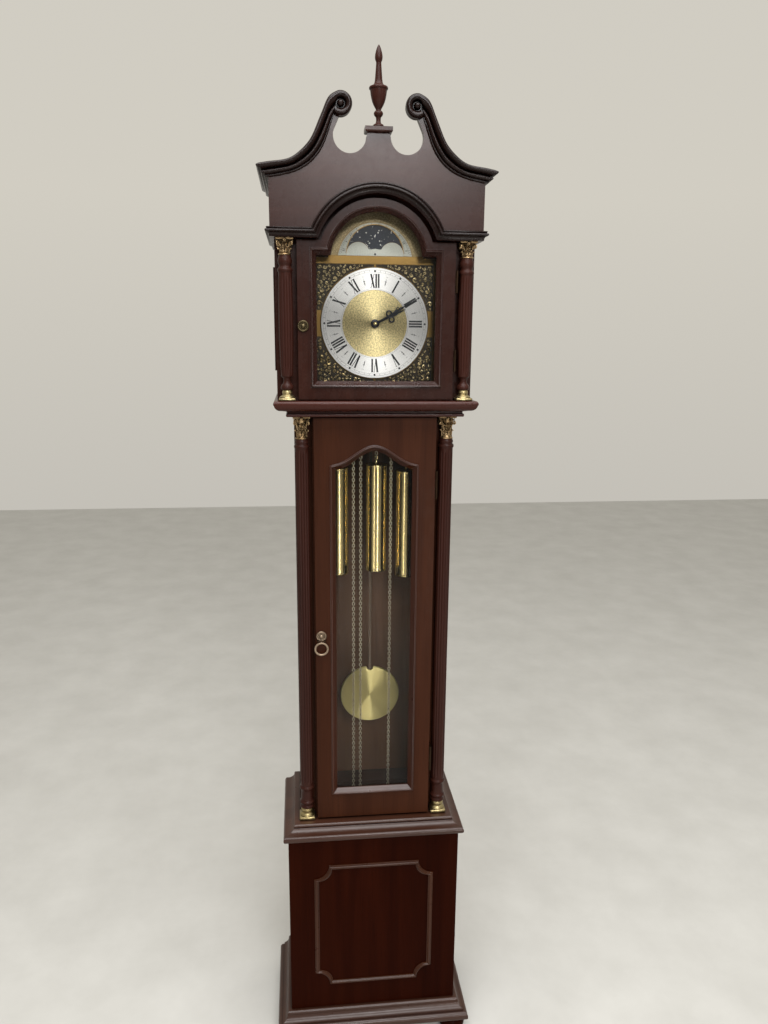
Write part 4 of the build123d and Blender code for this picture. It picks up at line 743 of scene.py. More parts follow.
g = Geo()
for s in (-1, 1):
    p = [(0.01, 1560.6), (11.2, 1560.6), (12.2, 1562.0), (12.7, 1564.4), (12.6, 1566.8), (11.6, 1569.4), (10.2, 1571.4), (8.4, 1573.0), (7.4, 1575.0),
         (7.0, 1578.0), (7.2, 1581.0), (8.0, 1583.6), (9.8, 1585.4), (11.4, 1586.8)]
    p += [(11.7 + 1.4 * i / 26 + 2.0 * math.sin(PI * (i / 26) ** 0.9), 1588.0 + 197.0 * i / 26) for i in range(27)]
    p += [(13.1, 1786.2), (14.4, 1787.6), (14.8, 1789.2), (14.8, 1791.6), (14.2, 1793.0), (12.6, 1794.6), (11.6, 1796.4), (11.4, 1798.6), (12.2, 1800.4),
          (13.4, 1803.0), (14.0, 1806.0), (13.9, 1809.0), (13.0, 1812.4), (11.9, 1814.8), (11.7, 1817.8), (0.01, 1817.8)]
    column(g, s * 179.5, -86.0, p, (1588.0, 1785.0), 12, 1.5)
piece("hood_column_turnings", g, WOOD_DZ, "case", ["hood_columns"], sharp=60)


def leaf(geo, cx, cy, ang, r0, r1, z0, h, w, curl):
    """Acanthus leaf: notched edge, raised midrib and side ribs, tip rolled outwards."""
    nu, nv = 25, 11
    rows = []
    for i in range(nu):
        t = i / (nu - 1)
        rr = r0 + (r1 - r0) * t ** 1.4 + curl * max(0.0, (t - 0.55) / 0.45) ** 1.6
        zz = z0 + h * (math.sin(min(t, 0.84) / 0.84 * PI / 2 * 0.98)) - curl * 0.75 * max(0.0, (t - 0.78) / 0.22) ** 1.5
        wide = w * (0.66 + 0.42 * math.sin(PI * min(1.0, t * 1.1) ** 0.8)) * (1 - max(0, (t - 0.70) / 0.32) ** 2 * 0.8)
        wide *= 1.0 + 0.30 * math.cos(t * 7.0 * PI)
        row = []
        for j in range(nv):
            u = 2 * j / (nv - 1) - 1
            fold = 1.5 * (1 - abs(u)) ** 0.7 + 0.8 * math.cos(u * 2.5 * PI + 0.6 * math.cos(7.0 * PI * t)) * (0.5 + 0.5 * t) - 0.9 * abs(u) ** 3
            rad = rr + fold
            a = ang + u * wide / max(rad, 4.0)
            row.append((cx + rad * math.cos(a), cy + rad * math.sin(a), zz - 0.9 * abs(u) * t))
        rows.append(row)
    front = rows
    back = [[(cx + (x - cx) * 0.88, cy + (y - cy) * 0.88, z - 0.15) for x, y, z in r] for r in rows]
    geo.grid(front)
    geo.grid(back)
    edge_f = front[0] + [r[-1] for r in front[1:]] + front[-1][-2::-1] + [r[0] for r in front[-2:0:-1]]
    edge_b = back[0] + [r[-1] for r in back[1:]] + back[-1][-2::-1] + [r[0] for r in back[-2:0:-1]]
    geo.grid([edge_f, edge_b], close_v=True)


def capital(geo, x, y, z0, h, r0, half):
    zt = z0 + h - 0.05
    geo.lathe([(0.01, z0), (r0 - 0.9, z0), (r0 + 0.1, z0 + 0.6), (r0 + 0.3, z0 + 1.4), (r0 - 0.2, z0 + 2.3), (r0 - 2.2, z0 + 2.9),
               (r0 - 4.6, z0 + 0.3 * h), (r0 - 4.4, z0 + 0.55 * h), (r0 - 2.6, z0 + 0.74 * h), (half - 5.2, zt - 5.0), (0.01, zt - 5.0)], (x, y, 0), seg=48)
    # small leaves round the foot, tall ones between them, and curled sprays under the corners
    for k in range(8):
        leaf(geo, x, y, 2 * PI * (k + 0.5) / 8, r0 - 3.6, r0 - 2.2, z0 + 2.4, 0.34 * h, 3.3, 2.4)
    for k in range(8):
        leaf(geo, x, y, 2 * PI * k / 8, r0 - 4.4, r0 - 2.4, z0 + 2.8, 0.62 * h, 3.0, 3.4)
    for k in range(8):
        leaf(geo, x, y, 2 * PI * (k + 0.5) / 8, r0 - 4.0, half - 6.0, z0 + 0.36 * h, 0.50 * h, 2.6, 3.6)
    for k in range(4):
        a = PI / 4 + k * PI / 2
        dx, dy = math.cos(a), math.sin(a)
        pts, rad = [], []
        for i in range(34):
            t = i / 33
            if t < 0.4:
                q = t / 0.4
                r = r0 - 1.5 + (half * 1.12 - r0) * q ** 1.5
                z = z0 + 0.50 * h + (0.28 * h) * q
            else:
                q = (t - 0.4) / 0.6
                ph = PI * 0.5 - q * 3.4 * PI
                rho = 3.8 * (1 - 0.78 * q)
                r = half * 1.12 - 1.5 + rho * math.cos(ph)
                z = z0 + 0.78 * h - 3.8 + rho * math.sin(ph)
            pts.append((x + r * dx, y + r * dy, min(z, zt - 3.0)))
            rad.append(1.35 - 0.45 * t)
        geo.tube(pts, rad, seg=8)
    for k in range(4):
        a = k * PI / 2
        for j in range(5):
            b = 2 * PI * j / 5
            geo.ball((x + (half - 1.7) * math.cos(a) - 1.7 * math.cos(b) * math.sin(a), y + (half - 1.7) * math.sin(a) + 1.7 * math.cos(b) * math.cos(a),
                      zt - 4.4 + 1.7 * math.sin(b)), 1.15, 5)
        geo.ball((x + (half - 1.2) * math.cos(a), y + (half - 1.2) * math.sin(a), zt - 4.4), 1.1, 5)
    rows = []
    for hh, gg in ((-4.2, -1.8), (-3.4, -0.8), (-2.6, -0.3), (-2.1, -0.9), (-1.5, -0.2), (-0.4, 0.0), (0.0, -0.5)):
        row = []
        e = half + gg
        for k in range(4):
            a = k * PI / 2
            for i in range(12):
                u = 2 * i / 12 - 1
                bow = e - 2.6 * (1 - u * u)
                row.append((x + bow * math.cos(a) - u * e * math.sin(a), y + bow * math.sin(a) + u * e * math.cos(a), zt + hh))
        rows.append(row)
    k0 = len(geo.v)
    geo.grid(rows, close_v=True)
    geo.f += [tuple(range(k0 + 47, k0 - 1, -1)), tuple(range(k0 + 48 * 6, k0 + 48 * 7))]
    geo.m += [0, 0]


g = Geo()
for s in (-1, 1):
    capital(g, s * 152.2, -59.0, 1458.0, 47.5, 13.6, 18.2)
    capital(g, s * 179.5, -86.0, 1818.0, 32.0, 12.6, 17.2)
piece("leaf_capitals", g, GILT, "case", ["column_capitals"], sharp=55)


def column_foot(geo, x, y, z0, h, half, neck):
    geo.block((x - half, y - half, z0 + 0.05), (x + half, y + half, z0 + 0.27 * h), 1.1)
    prof = [(0.01, 0.25), (half - 1.8, 0.27), (half - 1.2, 0.30), (half - 1.3, 0.35), (half - 2.4, 0.385), (0.55 * half + 0.45 * neck, 0.43),
            (0.2 * half + 0.8 * neck, 0.50), (neck, 0.58), (neck + 0.5, 0.64), (neck + 1.1, 0.72), (neck + 1.1, 0.80), (neck + 0.5, 0.88), (neck - 0.1, 0.93),
            (neck - 0.1, 0.995), (0.01, 0.995)]
    geo.lathe([(r, z0 + q * h) for r, q in prof], (x, y, 0), seg=60)


g = Geo()
for s in (-1, 1):
    column_foot(g, s * 152.2, -59.0, 577.0, 28.0, 17.6, 12.8)
    column_foot(g, s * 179.5, -86.0, 1538.5, 22.0, 16.6, 9.0)
piece("gilt_column_feet", g, GILT_PALE, "case", ["column_bases"], sharp=50)

# ------------------------------------------------------------------ dial
CZ = 1691.5
g = Geo()
g.lathe([(8.0, 46.03), (8.0, 46.5), (8.6, 46.8), (65.6, 46.8), (66.3, 46.5), (66.3, 46.03)], (0, 0, CZ), axis="y", seg=160)
piece("dial_centre_disc", g, SUN_DIAL, "case", sharp=15, origin=(0, -46.8, CZ))

g = Geo()
g.lathe([(66.4, 46.05), (66.4, 47.4), (67.0, 48.0), (108.7, 48.0), (109.4, 47.4), (109.4, 46.05), (66.4, 46.05)], (0, 0, CZ), axis="y", seg=180)
piece("chapter_ring_silvered", g, SILVER, "case", ["chapter_ring"], sharp=15, origin=(0, -48.0, CZ))
g = Geo()
for r0, r1, h in ((109.0, 111.2, 47.0),):
    g.lathe([(r0, 46.05), (r0, h), (0.5 * (r0 + r1), h + 0.7), (r1, h), (r1, 46.05)], (0, 0, CZ), axis="y", seg=180)
piece("chapter_ring_rim", g, DIAL_BRASS, "case")


def place(ang, pts, cz=CZ):
    """(sideways, outward) points of a mark that stands at an angle clockwise from twelve."""
    c, s = math.cos(ang), math.sin(ang)
    return [(u * c + r * s, cz - u * s + r * c) for u, r in pts]


def quad(u0, u1, w, r0, r1):
    """Stroke from (u0, r0) to (u1, r1), w wide."""
    return [(u0 - w / 2, r0), (u0 + w / 2, r0), (u1 + w / 2, r1), (u1 - w / 2, r1)]


def glyph(ch, u, r0, r1):
    """Strokes of one Roman letter, standing with its foot at r0; returns strokes and its width."""
    serif = lambda c, w, r: [(c - w / 2, r - 0.3), (c + w / 2, r - 0.3), (c + w / 2, r + 0.3), (c - w / 2, r + 0.3)]
    if ch == "I":
        c = u + 2.2
        return [quad(c, c, 3.4, r0, r1), serif(c, 4.4, r0 + 0.45), serif(c, 4.4, r1 - 0.45)], 5.1
    if ch == "V":
        return [quad(u + 4.6, u + 1.4, 3.6, r0, r1), quad(u + 4.9, u + 8.2, 1.1, r0, r1), serif(u + 1.5, 4.4, r1 - 0.45),
                serif(u + 8.2, 3.6, r1 - 0.45)], 10.2
    return [quad(u + 8.0, u + 1.6, 3.6, r0, r1), quad(u + 1.6, u + 8.0, 1.1, r0, r1), serif(u + 1.6, 4.2, r1 - 0.45),
            serif(u + 8.0, 3.4, r1 - 0.45), serif(u + 1.6, 3.4, r0 + 0.45), serif(u + 8.0, 4.2, r0 + 0.45)], 10.0


NUM = ["XII", "I", "II", "III", "IIII", "V", "VI", "VII", "VIII", "IX", "X", "XI"]
g = Geo()
for i, word in enumerate(NUM):
    total = sum(glyph(c, 0, 0, 1)[1] for c in word) - 0.5
    u = -total / 2
    for c in word:
        strokes, w = glyph(c, u, 70.4, 97.6)
        for k, st in enumerate(strokes):
            g.prism(place(i * PI / 6, st), -48.16 - 0.006 * k, -48.0)
        u += w
    dot = [(2.1 * math.cos(a), 103.0 + 2.1 * math.sin(a)) for a in (2 * PI * k / 20 for k in range(20))]
    g.prism(place(i * PI / 6, dot), -48.18, -48.0)
for k in range(60):
    if k % 5:
        g.prism(place(k * PI / 30, [(-0.26, 101.4), (0.26, 101.4), (0.26, 104.6), (-0.26, 104.6)]), -48.12, -48.0)
piece("roman_numerals", g, INK, "case", smooth=False)

g = Geo()
for r in (100.8, 104.9, 68.6):
    g.lathe([(r, 48.0), (r, 48.08), (r + 0.38, 48.08), (r + 0.38, 48.0)], (0, 0, CZ), axis="y", seg=180)
for i in range(12):
    a = (i + 0.5) * PI / 6
    g.prism(place(a, [(0, 76.0), (1.3, 81.0), (0.5, 83.6), (2.4, 85.0), (0.6, 86.4), (0, 92.0), (-0.6, 86.4), (-2.4, 85.0), (-0.5, 83.6),
                      (-1.3, 81.0)]), -48.12, -48.0)
    g.prism(place(a, [(-2.0, 94.2), (2.0, 94.2), (2.0, 94.8), (-2.0, 94.8)]), -48.12, -48.0)
piece("chapter_ring_marks", g, GREY_INK, "case", smooth=False)

# lunar arch: silvered humps and field, scale ring with its marks, engraved surround
MZ = 1826.0
g = Geo()
field = [(-57.8, 1823.6), (57.8, 1823.6), (57.8, 1828.0)]
field += arc((34, MZ), 23.7, math.asin(2 / 23.7), PI - math.asin(10.5 / 23.7), 32)
field += [(9.0, 1835.9), (4.5, 1836.8), (0.0, 1837.6), (-4.5, 1836.8), (-9.0, 1835.9)]  # low saddle between the humps
field += arc((-34, MZ), 23.7, math.asin(10.5 / 23.7), PI - math.asin(2 / 23.7), 32)
field += [(-57.8, 1828.0)]  # foot of the left hump
g.prism(field, -46.7, -46.02, ease=0.25)
# the scale is bounded outside by the curve of the dial arch, so it is widest at its feet
RO, ZO = 75.5, 1811.5


def scale_out(a):
    """Distance from the moon's middle to the outer edge of the scale, at angle a from level."""
    d = MZ - ZO
    return -d * math.sin(a) + math.sqrt(RO ** 2 - (d * math.cos(a)) ** 2)


def scale_pt(a, f):
    """Point of the scale at angle a, f across it from the inner to the outer edge."""
    r = 58.2 + (scale_out(a) - 58.2) * f
    return r * math.cos(a), MZ + r * math.sin(a)


aa = [math.radians(-1.8) + (PI + math.radians(3.6)) * i / 96 for i in range(97)]
g.prism([scale_pt(a, 1.0) for a in aa] + [scale_pt(a, 0.0) for a in reversed(aa)], -46.75, -46.02, ease=0.2)
piece("lunar_scale_silvered", g, SILVER_M, "case", smooth=False, origin=(0, -46.7, MZ))

g = Geo()
for k in range(60):
    a = PI * (k + 0.5) / 60
    half = math.radians(0.22)
    f0 = 0.62 if k % 5 == 2 else 0.74
    g.prism([scale_pt(a - half, f0), scale_pt(a + half, f0), scale_pt(a + half, 0.93), scale_pt(a - half, 0.93)], -46.9, -46.7)
for k in range(12):
    a = PI * (k + 0.5) / 12
    for du in ((-1.5, 1.5) if k % 2 else (0.0,)):
        b, half = a + math.radians(du), math.radians(0.6)
        g.prism([scale_pt(b - half, 0.22), scale_pt(b + half, 0.22), scale_pt(b + half, 0.52), scale_pt(b - half, 0.52)], -46.9, -46.7)
for f in (0.10, 0.60):
    g.prism([scale_pt(a, f) for a in aa[2:-2]] + [scale_pt(a, f + 0.03) for a in reversed(aa[2:-2])], -46.86, -46.7)
g.prism([(2.1 * math.cos(2 * PI * k / 20), 1826.8 + 2.1 * math.sin(2 * PI * k / 20)) for k in range(20)], -47.4, -46.6, ease=0.3)
piece("lunar_scale_marks", g, INK, "case", smooth=False)

g = Geo()
a0, a1 = math.asin(13.2 / 96.6), math.asin(12.4 / 76.0)
outer = arc((0, 1811.0), 96.6, a0, PI - a0, 90)
inner = arc((0, ZO), 76.0, a1, PI - a1, 90)
g.prism(outer + inner[::-1], -46.45, -46.02, ease=0.2)
piece("arch_surround_engraved", g, ENGRAVED, "case", smooth=False)
g = Geo()
for row, (rr, n, size) in enumerate(((80.4, 36, 2.7), (86.2, 38, 2.9), (91.6, 40, 2.5))):
    for k in range(n):
        a = math.radians(10 + 160 * (k + 0.5 * (row % 2)) / n)
        c = (rr * math.cos(a), 1811.3 + rr * math.sin(a))
        pts = []
        for i in range(14):
            q = i / 13
            ph = a + PI / 2 + (1 if (k + row) % 2 else -1) * q * 4.4
            rho = 0.5 + size * q
            pts.append((c[0] + rho * math.cos(ph), -46.5, c[1] + rho * math.sin(ph)))
        if all(p[2] > 1825.2 for p in pts):
            g.tube(pts, [0.35 + 0.40 * (1 - i / 13) for i in range(14)], seg=6, flat=0.8)
piece("arch_surround_scrolls", g, GILT_OLD, "case")

# plain brass strip and thin frame round the square part of the dial
g = Geo()
g.block((-121.0, -46.95, 1807.8), (121.0, -46.02, 1823.6), 0.35)
for s in (-1, 1):
    g.block((s * 121.3 - 1.5, -47.2, 1572.0), (s * 121.3 + 1.5, -46.02, 1807.6), 0.4)
g.block((-122.8, -47.2, 1569.0), (122.8, -46.02, 1571.9), 0.4)
piece("dial_strip", g, DIAL_BRASS, "case", smooth=False)

# spandrels: near-black ground plates, whose dark tone is painted shade in the gaps between the scrolls, with dense gilt
# scrollwork
RS = 111.6
g = Geo()
for sx in (-1, 1):
    for zc in (1, -1):
        zo = 1807.4 if zc > 0 else 1572.2
        dz = abs(zo - CZ)
        ze = 26.0
        out = [(sx * 119.6, zo), (sx * (2.0 if dz > RS else math.sqrt(RS ** 2 - dz ** 2)), zo)]
        a0, a1 = math.asin(min(0.9998, dz / RS)), math.asin(ze / RS)
        out += [(sx * RS * math.cos(a), CZ + zc * RS * math.sin(a)) for a in np.linspace(a0, a1, 40)]
        out += [(sx * 119.6, CZ + zc * ze)]
        g.prism(out, -46.3, -46.02)
piece("spandrel_ground_plates", g, PAINTED_SHADE_GROUND, "case", smooth=False)


def curl(cx, cz, r0, turns, a0, hand, n=22):
    pts = []
    for i in range(n + 1):
        q = i / n
        r = r0 * (1 - 0.82 * q)
        a = a0 + hand * turns * 2 * PI * q
        pts.append((cx + r * math.cos(a), cz + r * math.sin(a)))
    return pts


def in_corner(x, z, zc, pad):
    """Inside one right-hand corner field, pad clear of its edges."""
    zo = 1807.0 if zc > 0 else 1572.8
    return x < 119.0 - pad and (zo - z) * zc > pad and (z - CZ) * zc > 27.0 + pad and math.hypot(x, z - CZ) > RS + 0.6 + pad


g = Geo()
for zc in (1, -1):
    rng = random.Random(40 + zc)
    spots = []
    zo = 1807.0 if zc > 0 else 1572.8
    cand = [(112.0, zo - zc * 7.0, 5.6), (101.0, zo - zc * 6.0, 4.4), (113.0, zo - zc * 18.0, 4.4), (102.0, zo - zc * 15.5, 4.2)]
    for k in range(4000):
        cand.append((rng.uniform(20, 119), zo - zc * rng.uniform(0, 92), rng.choice((6.2, 5.2, 4.2, 3.2, 2.4))))
    for x, z, r in cand:
        if in_corner(x, z, zc, r * 0.95) and all(math.hypot(x - p[0], z - p[1]) > 0.93 * (r + p[2]) for p in spots):
            spots.append((x, z, r))
    for i, (x, z, r) in enumerate(spots):
        a0, hand = rng.uniform(0, 2 * PI), rng.choice((-1, 1))
        pts = curl(x, z, r * 0.80, 0.85, a0, hand)
        rad = [max(0.6, 0.36 * r * math.sin(PI * (0.16 + 0.72 * q / 22))) for q in range(23)]
        tips = [(x + r * 1.15 * math.cos(a0 + d), z + r * 1.15 * math.sin(a0 + d)) for d in (-0.5 * hand, 0.9 * hand)]
        for sx in (-1, 1):
            g.tube([(sx * p[0], -46.8 - 0.3 * (i % 3) - 0.5 * q / 22, p[1]) for q, p in enumerate(pts)], rad, seg=7, flat=1.3)
            g.ball((sx * pts[-1][0], -47.6, pts[-1][1]), max(0.7, 0.32 * r), 6)
            for t in tips:
                if in_corner(t[0], t[1], zc, 0.3):
                    g.tube([(sx * pts[2][0], -46.8, pts[2][1]), (sx * (pts[2][0] + t[0]) / 2, -47.1, (pts[2][1] + t[1]) / 2), (sx * t[0], -46.6, t[1])],
                           [0.7, 0.8, 0.25], seg=6)
piece("spandrel_scrollwork", g, GILT_DARK, "case", ["spandrels"])

# moon disc: stars and two plain moons, which stand behind the humps at rest
g = Geo()
stars = 0
while stars < 64:
    a, r = RNG.uniform(0, 2 * PI), 60.0 * math.sqrt(RNG.uniform(0.03, 0.96))
    x, z = r * math.cos(a), MZ + r * math.sin(a)
    if min(math.hypot(x - 34, z - MZ), math.hypot(x + 34, z - MZ)) < 23.0 or math.hypot(x, z - MZ) < 7:
        continue
    big = RNG.uniform(0.5, 1.35) if stars % 5 else 1.7
    pts = []
    for k in range(10):
        q = big if k % 2 == 0 else big * 0.60
        b = PI / 2 + k * PI / 5
        pts.append((x + q * math.cos(b), z + q * math.sin(b)))
    g.prism(pts, -43.62, -43.42)
    stars += 1
piece("moon_stars", g, STAR, "moon", smooth=False)
g = Geo()
for s in (-1, 1):
    g.lathe([(0.01, 43.85), (8.0, 43.82), (16.0, 43.72), (20.2, 43.58), (20.8, 43.42), (0.01, 43.41)], (s * 34.0, 0, MZ), axis="y", seg=64)
piece("moon_faces_plain", g, MOON, "moon")


# ------------------------------------------------------------------ hands
def hand(name, ang, y_front, y_back, ribs, hub, hole, loops, body, node):
    """Flat hand: outline from (outward, half width) ribs, a pierced hub and loops standing off its sides."""
    g = Geo()
    left = [(-w, r) for r, w in ribs]
    right = [(w, r) for r, w in reversed(ribs)]
    g.prism(place(ang, left + right), y_front, y_back, ease=0.22)
    g.lathe([(hole, -y_back), (hole, -y_front), (hole + 0.5, -y_front + 0.35), (hub - 0.8, -y_front + 0.35), (hub, -y_front - 0.1),
             (hub, -y_back), (hole, -y_back)], (0, 0, CZ), axis="y", seg=48)
    for u, r, rad, w in loops:
        ring = place(ang, [(u + rad * math.cos(2 * PI * k / 28), r + rad * math.sin(2 * PI * k / 28)) for k in range(29)])
        g.tube([(p[0], 0.5 * (y_front + y_back), p[1]) for p in ring], w, seg=8, flat=0.62, cap=False)
    piece(name, g, BLACK, body, [node], sharp=30)


hand("minute_hand_serpentine", math.radians(60), -57.0, -55.62,
     [(5.0, 2.0), (14, 1.6), (24, 1.3), (34, 1.3), (42, 1.6), (46, 2.4), (49, 2.9), (52, 2.0), (55, 1.3), (57, 2.2), (60, 2.8), (63, 2.0), (66, 1.0),
      (69, 1.2), (73, 1.4), (79, 1.2), (87, 0.9), (95, 0.7), (103, 0.3)], 7.2, 3.45,
     [(-3.2, 55.0, 2.6, 0.85), (3.2, 55.0, 2.6, 0.85)], "minute", "minute_hand")
hand("hour_hand_serpentine", math.radians(65), -52.8, -51.42,
     [(7.0, 2.6), (14, 2.2), (22, 2.0), (26, 2.6), (29, 1.8), (33, 1.7), (38, 2.2), (42, 3.2), (45, 3.4), (49, 2.4), (52, 1.4), (55, 2.0), (58, 1.9), (62, 1.1),
      (69, 0.4)], 8.8, 5.25,
     [(-6.6, 34.5, 5.0, 1.5), (6.6, 34.5, 5.0, 1.5)], "hour", "hour_hand")
g = Geo()
g.lathe([(0.01, 59.6), (1.3, 59.5), (2.4, 59.0), (2.9, 58.2), (3.0, 57.3), (0.01, 57.25)], (0, 0, CZ), axis="y", seg=32)
piece("hand_cap_nut", g, BRASS, "centre_wheel")

# ------------------------------------------------------------------ chased work on the knob and on the pull's boss
def beaded(geo, x, z, y, r, n, size):
    for k in range(n):
        a = 2 * PI * k / n
        geo.ball((x + r * math.cos(a), y, z + r * math.sin(a)), size, 6, squash=(1, 0.7, 1))


g = Geo()
beaded(g, -146.0, 1685.0, -93.9, 9.4, 18, 1.25)
beaded(g, -146.0, 1685.0, -95.6, 3.4, 7, 0.9)
piece("knob_beading", g, ROSETTE, "hood_door")
g = Geo()
g.lathe([(0.01, 74.05), (11.5, 74.05), (11.5, 75.3), (11.2, 76.3), (10.5, 77.3), (9.6, 77.9), (8.8, 77.9), (8.0, 77.4), (7.4, 76.6), (6.8, 76.0), (5.6, 75.9),
         (4.8, 76.0), (4.5, 76.9), (4.1, 78.0), (3.3, 78.9), (2.3, 79.5), (1.2, 79.9), (0.01, 80.0)], (-116.0, 0, 1027.0), axis="y", seg=64)
beaded(g, -116.0, 1027.0, -77.9, 9.3, 18, 1.25)
piece("pull_boss_rosette", g, BRASS_OLD, "trunk_door", ["ring_pull_boss"])
g = Geo()
for sx in (-1, 1):
    x = -116.0 + sx * 8.6
    g.tube([(x, -81.0 + 2.05 * math.cos(PI / 2 + 2 * PI * k / 20), 1016.8 + 2.05 * math.sin(PI / 2 + 2 * PI * k / 20)) for k in range(21)], 0.55, seg=8, cap=False)
    g.block((x - 0.9, -79.4, 1015.8), (x + 0.9, -74.05, 1017.8), 0.2)
    g.block((x - 0.9, -75.35, 1015.8), (x + 0.9, -74.05, 1022.0), 0.2)
piece("pull_boss_lugs", g, HINGE, "trunk_door")
g = Geo()
g.lathe([(13.55 + 2.3 * math.cos(2 * PI * k / 16), 81.0 + 1.9 * math.sin(2 * PI * k / 16)) for k in range(17)], (-116.0, 0, 999.6), axis="y", seg=72)
g.ball((-116.0, -81.0, 1014.2), 2.9, 8, squash=(1.0, 0.62, 0.7))
piece("ring_pull_ring", g, BRASS_OLD, "ring_pull", ["ring_pull"])
g = Geo()
g.tube([(-125.6, -81.0, 1016.8), (-120.0, -81.0, 1016.8), (-112.0, -81.0, 1016.8), (-106.4, -81.0, 1016.8)], [1.3, 1.3, 1.3, 1.3], seg=14)
g.block((-118.6, -81.9, 1014.0), (-113.4, -80.1, 1016.8), 0.3)
piece("ring_pull_pin", g, HINGE, "ring_pull")

# ------------------------------------------------------------------ weights, pendulum, chains
WX = {"left": (-75.0, 1148.0), "centre": (9.0, 1154.0), "right": (75.5, 1140.0)}
for side, (x, z) in WX.items():
    g = Geo()
    L = 243.0
    prof = [(0.01, 0), (14.0, 0.0), (20.6, 0.3), (22.6, 1.0), (23.8, 2.4), (24.0, 4.0), (23.9, 5.4), (23.4, 6.2), (23.5, 7.2)]
    prof += steps(23.5, 8.0, 23.5, L - 8.0, 12)
    prof += [(23.5, L - 7.2), (23.4, L - 6.2), (23.9, L - 5.4), (24.0, L - 4.0), (23.8, L - 2.4), (22.6, L - 1.0), (20.6, L - 0.3), (8.0, L),
             (4.2, L + 0.6), (3.9, L + 4.6), (3.0, L + 6.4), (0.01, L + 6.6)]
    g.lathe([(r, z + h) for r, h in prof], (x, -5.0, 0), seg=96)
    hook = [(x, -5, z + L + 5.5), (x, -5, z + L + 8.5)]
    hook += [(x + 3.6 * math.sin(q), -5, z + L + 12.4 - 3.6 * math.cos(q)) for q in (i * PI / 8 for i in range(0, 14))]
    g.tube(hook, 1.15, seg=10)
    piece("weight_" + side + "_shell", g, BRASS, "weight_" + side, ["weight_" + side])

g = Geo()
lens = [(0.01, 5.2), (10, 5.18), (20, 5.12), (30, 5.04), (40, 4.92), (50, 4.76), (58, 4.58), (64, 4.2), (66.4, 3.6), (67.0, 3.7), (68.2, 3.3), (69.3, 2.2),
        (69.9, 1.0), (70.0, 0.0)]
prof = [(r, -30.0 + h) for r, h in lens] + [(r, -30.0 - h) for r, h in reversed(lens[:-1])]
g.lathe(prof, (0, 0, 837.0), axis="y", seg=360, mod=lambda r, h, a: min(r, 68.4 - math.sqrt(max(0.0, 8.0 ** 2 - (70.0 * (a - PI / 2)) ** 2))) if abs(a - PI / 2) < 8.0 / 70.0 else r)
piece("bob_lens", g, SUN_BOB, "pendulum", ["pendulum_bob"], origin=(0, 30, 837.0))

def link(geo, p, d, turn, length, width, wire):
    """One oval chain link at p, lying along direction d, turned about it."""
    d = Vector(d).normalized()
    ref = Vector((0, 1, 0)) if abs(d.y) < 0.9 else Vector((1, 0, 0))
    e = d.cross(ref).normalized()
    f = d.cross(e).normalized()
    side = math.cos(turn) * e + math.sin(turn) * f
    up = d.cross(side).normalized()
    path = []
    a, b = length / 2 - width / 2, width / 2 - wire
    for k in range(12):
        q = 2 * PI * k / 12
        along = a * (1 if math.cos(q) >= 0 else -1) + b * math.cos(q)
        if abs(math.cos(q)) < 1e-6:
            along = 0.0
        path.append(Vector(p) + d * along + side * (b * math.sin(q)))
    rows = []
    n = len(path)
    for k in range(n):
        t = (path[(k + 1) % n] - path[k - 1]).normalized()
        s2 = t.cross(up).normalized()
        rows.append([tuple(path[k] + wire * (math.cos(w) * s2 + math.sin(w) * up)) for w in (2 * PI * i / 6 for i in range(6))])
    geo.grid(rows, close_u=True, close_v=True)


SPX = {"left": (-58.0, -1), "centre": (-8.0, 1), "right": (58.5, 1)}
PITCH, LLEN, LWID, WIRE = 6.2, 9.8, 6.8, 0.95
free = Geo()
for side, (xs, sg) in SPX.items():
    zs, R = 1645.4, 17.0
    xf = xs - sg * R
    n = int((zs - 300.0) / PITCH)
    for k in range(n + 1):
        link(free, (xf, -5.0, zs - k * PITCH), (0, 0, 1), (PI / 2) * (k % 2), LLEN, LWID, WIRE)
    m = int(PI * R / PITCH)
    for k in range(1, m):
        a = PI * k / m
        link(free, (xs + R * math.cos(a), -5.0, zs + R * math.sin(a)), (-math.sin(a), 0, math.cos(a)), (PI / 2) * (k % 2), LLEN, LWID, WIRE)
piece("chain_free_strands", free, BRASS_CHAIN, "case", ["chains"])
for side, (xs, sg) in SPX.items():
    xw, zb = xs + sg * 17.0, WX[side][1] + 243.0 + 15.5
    g = Geo()
    n = int((1645.4 - zb) / PITCH)
    for k in range(n + 1):
        link(g, (xw, -5.0, 1645.4 - (1645.4 - zb) * k / n), (0, 0, 1), (PI / 2) * (k % 2), LLEN, LWID, WIRE)
    me = bpy.data.meshes.new("chain_" + side + "_weight_strand")
    me.from_pydata([(x * MM, y * MM, z * MM) for x, y, z in g.v], [], g.f)
    me.materials.append(BRASS_CHAIN)
    for p in me.polygons:
        p.use_smooth = True
    ob = bpy.data.objects.new("chain_" + side + "_weight_strand", me)
    bpy.context.scene.collection.objects.link(ob)
    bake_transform(ob)

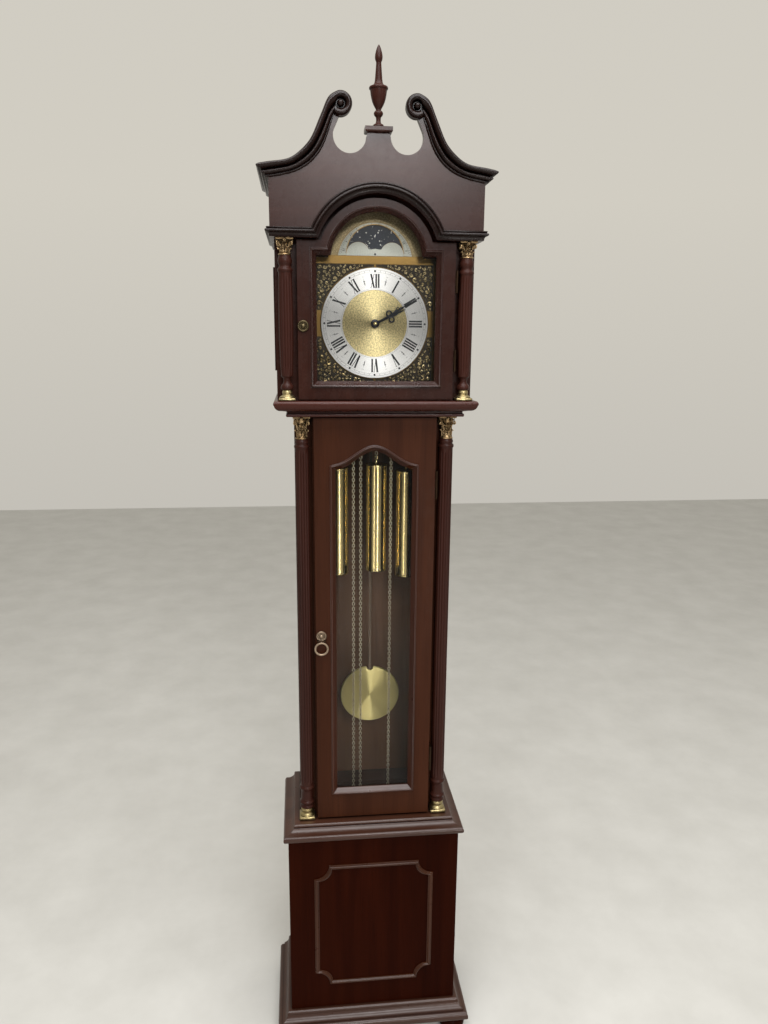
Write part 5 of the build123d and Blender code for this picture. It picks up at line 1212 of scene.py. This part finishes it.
# ------------------------------------------------------------------ stage, light and camera
def studio():
    sc = bpy.context.scene
    me = bpy.data.meshes.new("floor")
    me.from_pydata([(-6, -6, 0), (6, -6, 0), (6, 6, 0), (-6, 6, 0)], [], [(0, 1, 2, 3)])
    fl = bpy.data.objects.new("floor", me)
    sc.collection.objects.link(fl)
    me.materials.append(paint("floor_pale", (0.52, 0.51, 0.48), (0.58, 0.57, 0.54), rough=(0.7, 0.9), scale=40))
    w = bpy.data.worlds.new("studio")
    sc.world = w
    w.use_nodes = True
    nt = w.node_tree
    bg = nt.nodes["Background"]
    tc = nt.nodes.new("ShaderNodeTexCoord")
    sp = nt.nodes.new("ShaderNodeSeparateXYZ")
    nt.links.new(tc.outputs["Generated"], sp.inputs[0])
    wall = ramp(nt, spread(nt, sp.outputs["Z"], 0.0, 1.0, -0.4, 1.0), [(0.0, (0.50, 0.48, 0.44)), (0.40, (0.64, 0.61, 0.54)), (1.0, (0.62, 0.60, 0.55))])
    room = ramp(nt, spread(nt, sp.outputs["Z"], 0.0, 1.0, -0.4, 1.0), [(0.0, (0.10, 0.095, 0.09)), (0.42, (0.09, 0.085, 0.08)), (0.50, (0.42, 0.42, 0.41)), (1.0, (0.46, 0.46, 0.45))])
    col = mix(nt, wall, room, spread(nt, sp.outputs["Y"], 1.0, 0.0, -0.75, -0.35))
    nt.links.new(col, bg.inputs["Color"])
    bg.inputs["Strength"].default_value = 1.0

    def area(name, loc, look, size, power, colour):
        li = bpy.data.lights.new(name, "AREA")
        li.shape = "RECTANGLE"
        li.size, li.size_y = size
        li.energy = power
        li.color = colour
        ob = bpy.data.objects.new(name, li)
        sc.collection.objects.link(ob)
        ob.location = loc
        ob.rotation_euler = (Vector(look) - Vector(loc)).to_track_quat("-Z", "Y").to_euler()

    area("key", (-1.5, -3.2, 3.4), (0, 0, 1.3), (0.8, 0.8), 16, (1.0, 0.99, 0.96))
    area("fill", (2.4, -2.2, 2.2), (0, 0, 1.1), (0.4, 1.6), 6, (0.97, 0.98, 1.0))
    area("window", (0.45, -4.2, 3.45), (0, 0, 1.6), (1.3, 1.3), 105, (1, 1, 1))
    area("top", (0.0, -0.85, 3.5), (0, -0.1, 0.6), (2.2, 1.5), 80, (1, 1, 1))
    area("strip_right", (0.64, -2.9, 0.55), (0, 0, 1.25), (0.12, 1.2), 11, (1.0, 0.98, 0.94))
    area("strip_left", (-1.2, -2.7, 0.6), (0, 0, 1.2), (0.10, 1.2), 5, (1.0, 0.98, 0.94))

    yaw, pitch, roll = math.radians(6.28), math.radians(-12.73), math.radians(0.48)
    fwd = Vector((math.sin(yaw) * math.cos(pitch), math.cos(yaw) * math.cos(pitch), math.sin(pitch)))
    right = Vector((math.cos(yaw), -math.sin(yaw), 0))
    up = right.cross(fwd)
    r2 = math.cos(roll) * right + math.sin(roll) * up
    u2 = -math.sin(roll) * right + math.cos(roll) * up
    cam = bpy.data.cameras.new("camera")
    cam.sensor_width = 36.0
    cam.lens = 770.5 / 1024 * 36.0
    cam.clip_start = 0.05
    ob = bpy.data.objects.new("camera", cam)
    sc.collection.objects.link(ob)
    rot = Matrix((r2, u2, -fwd)).transposed().to_4x4()
    ob.matrix_world = Matrix.Translation((-0.1553, -1.6606, 1.6634)) @ rot
    sc.camera = ob
    sc.view_settings.view_transform = "Standard"


studio()
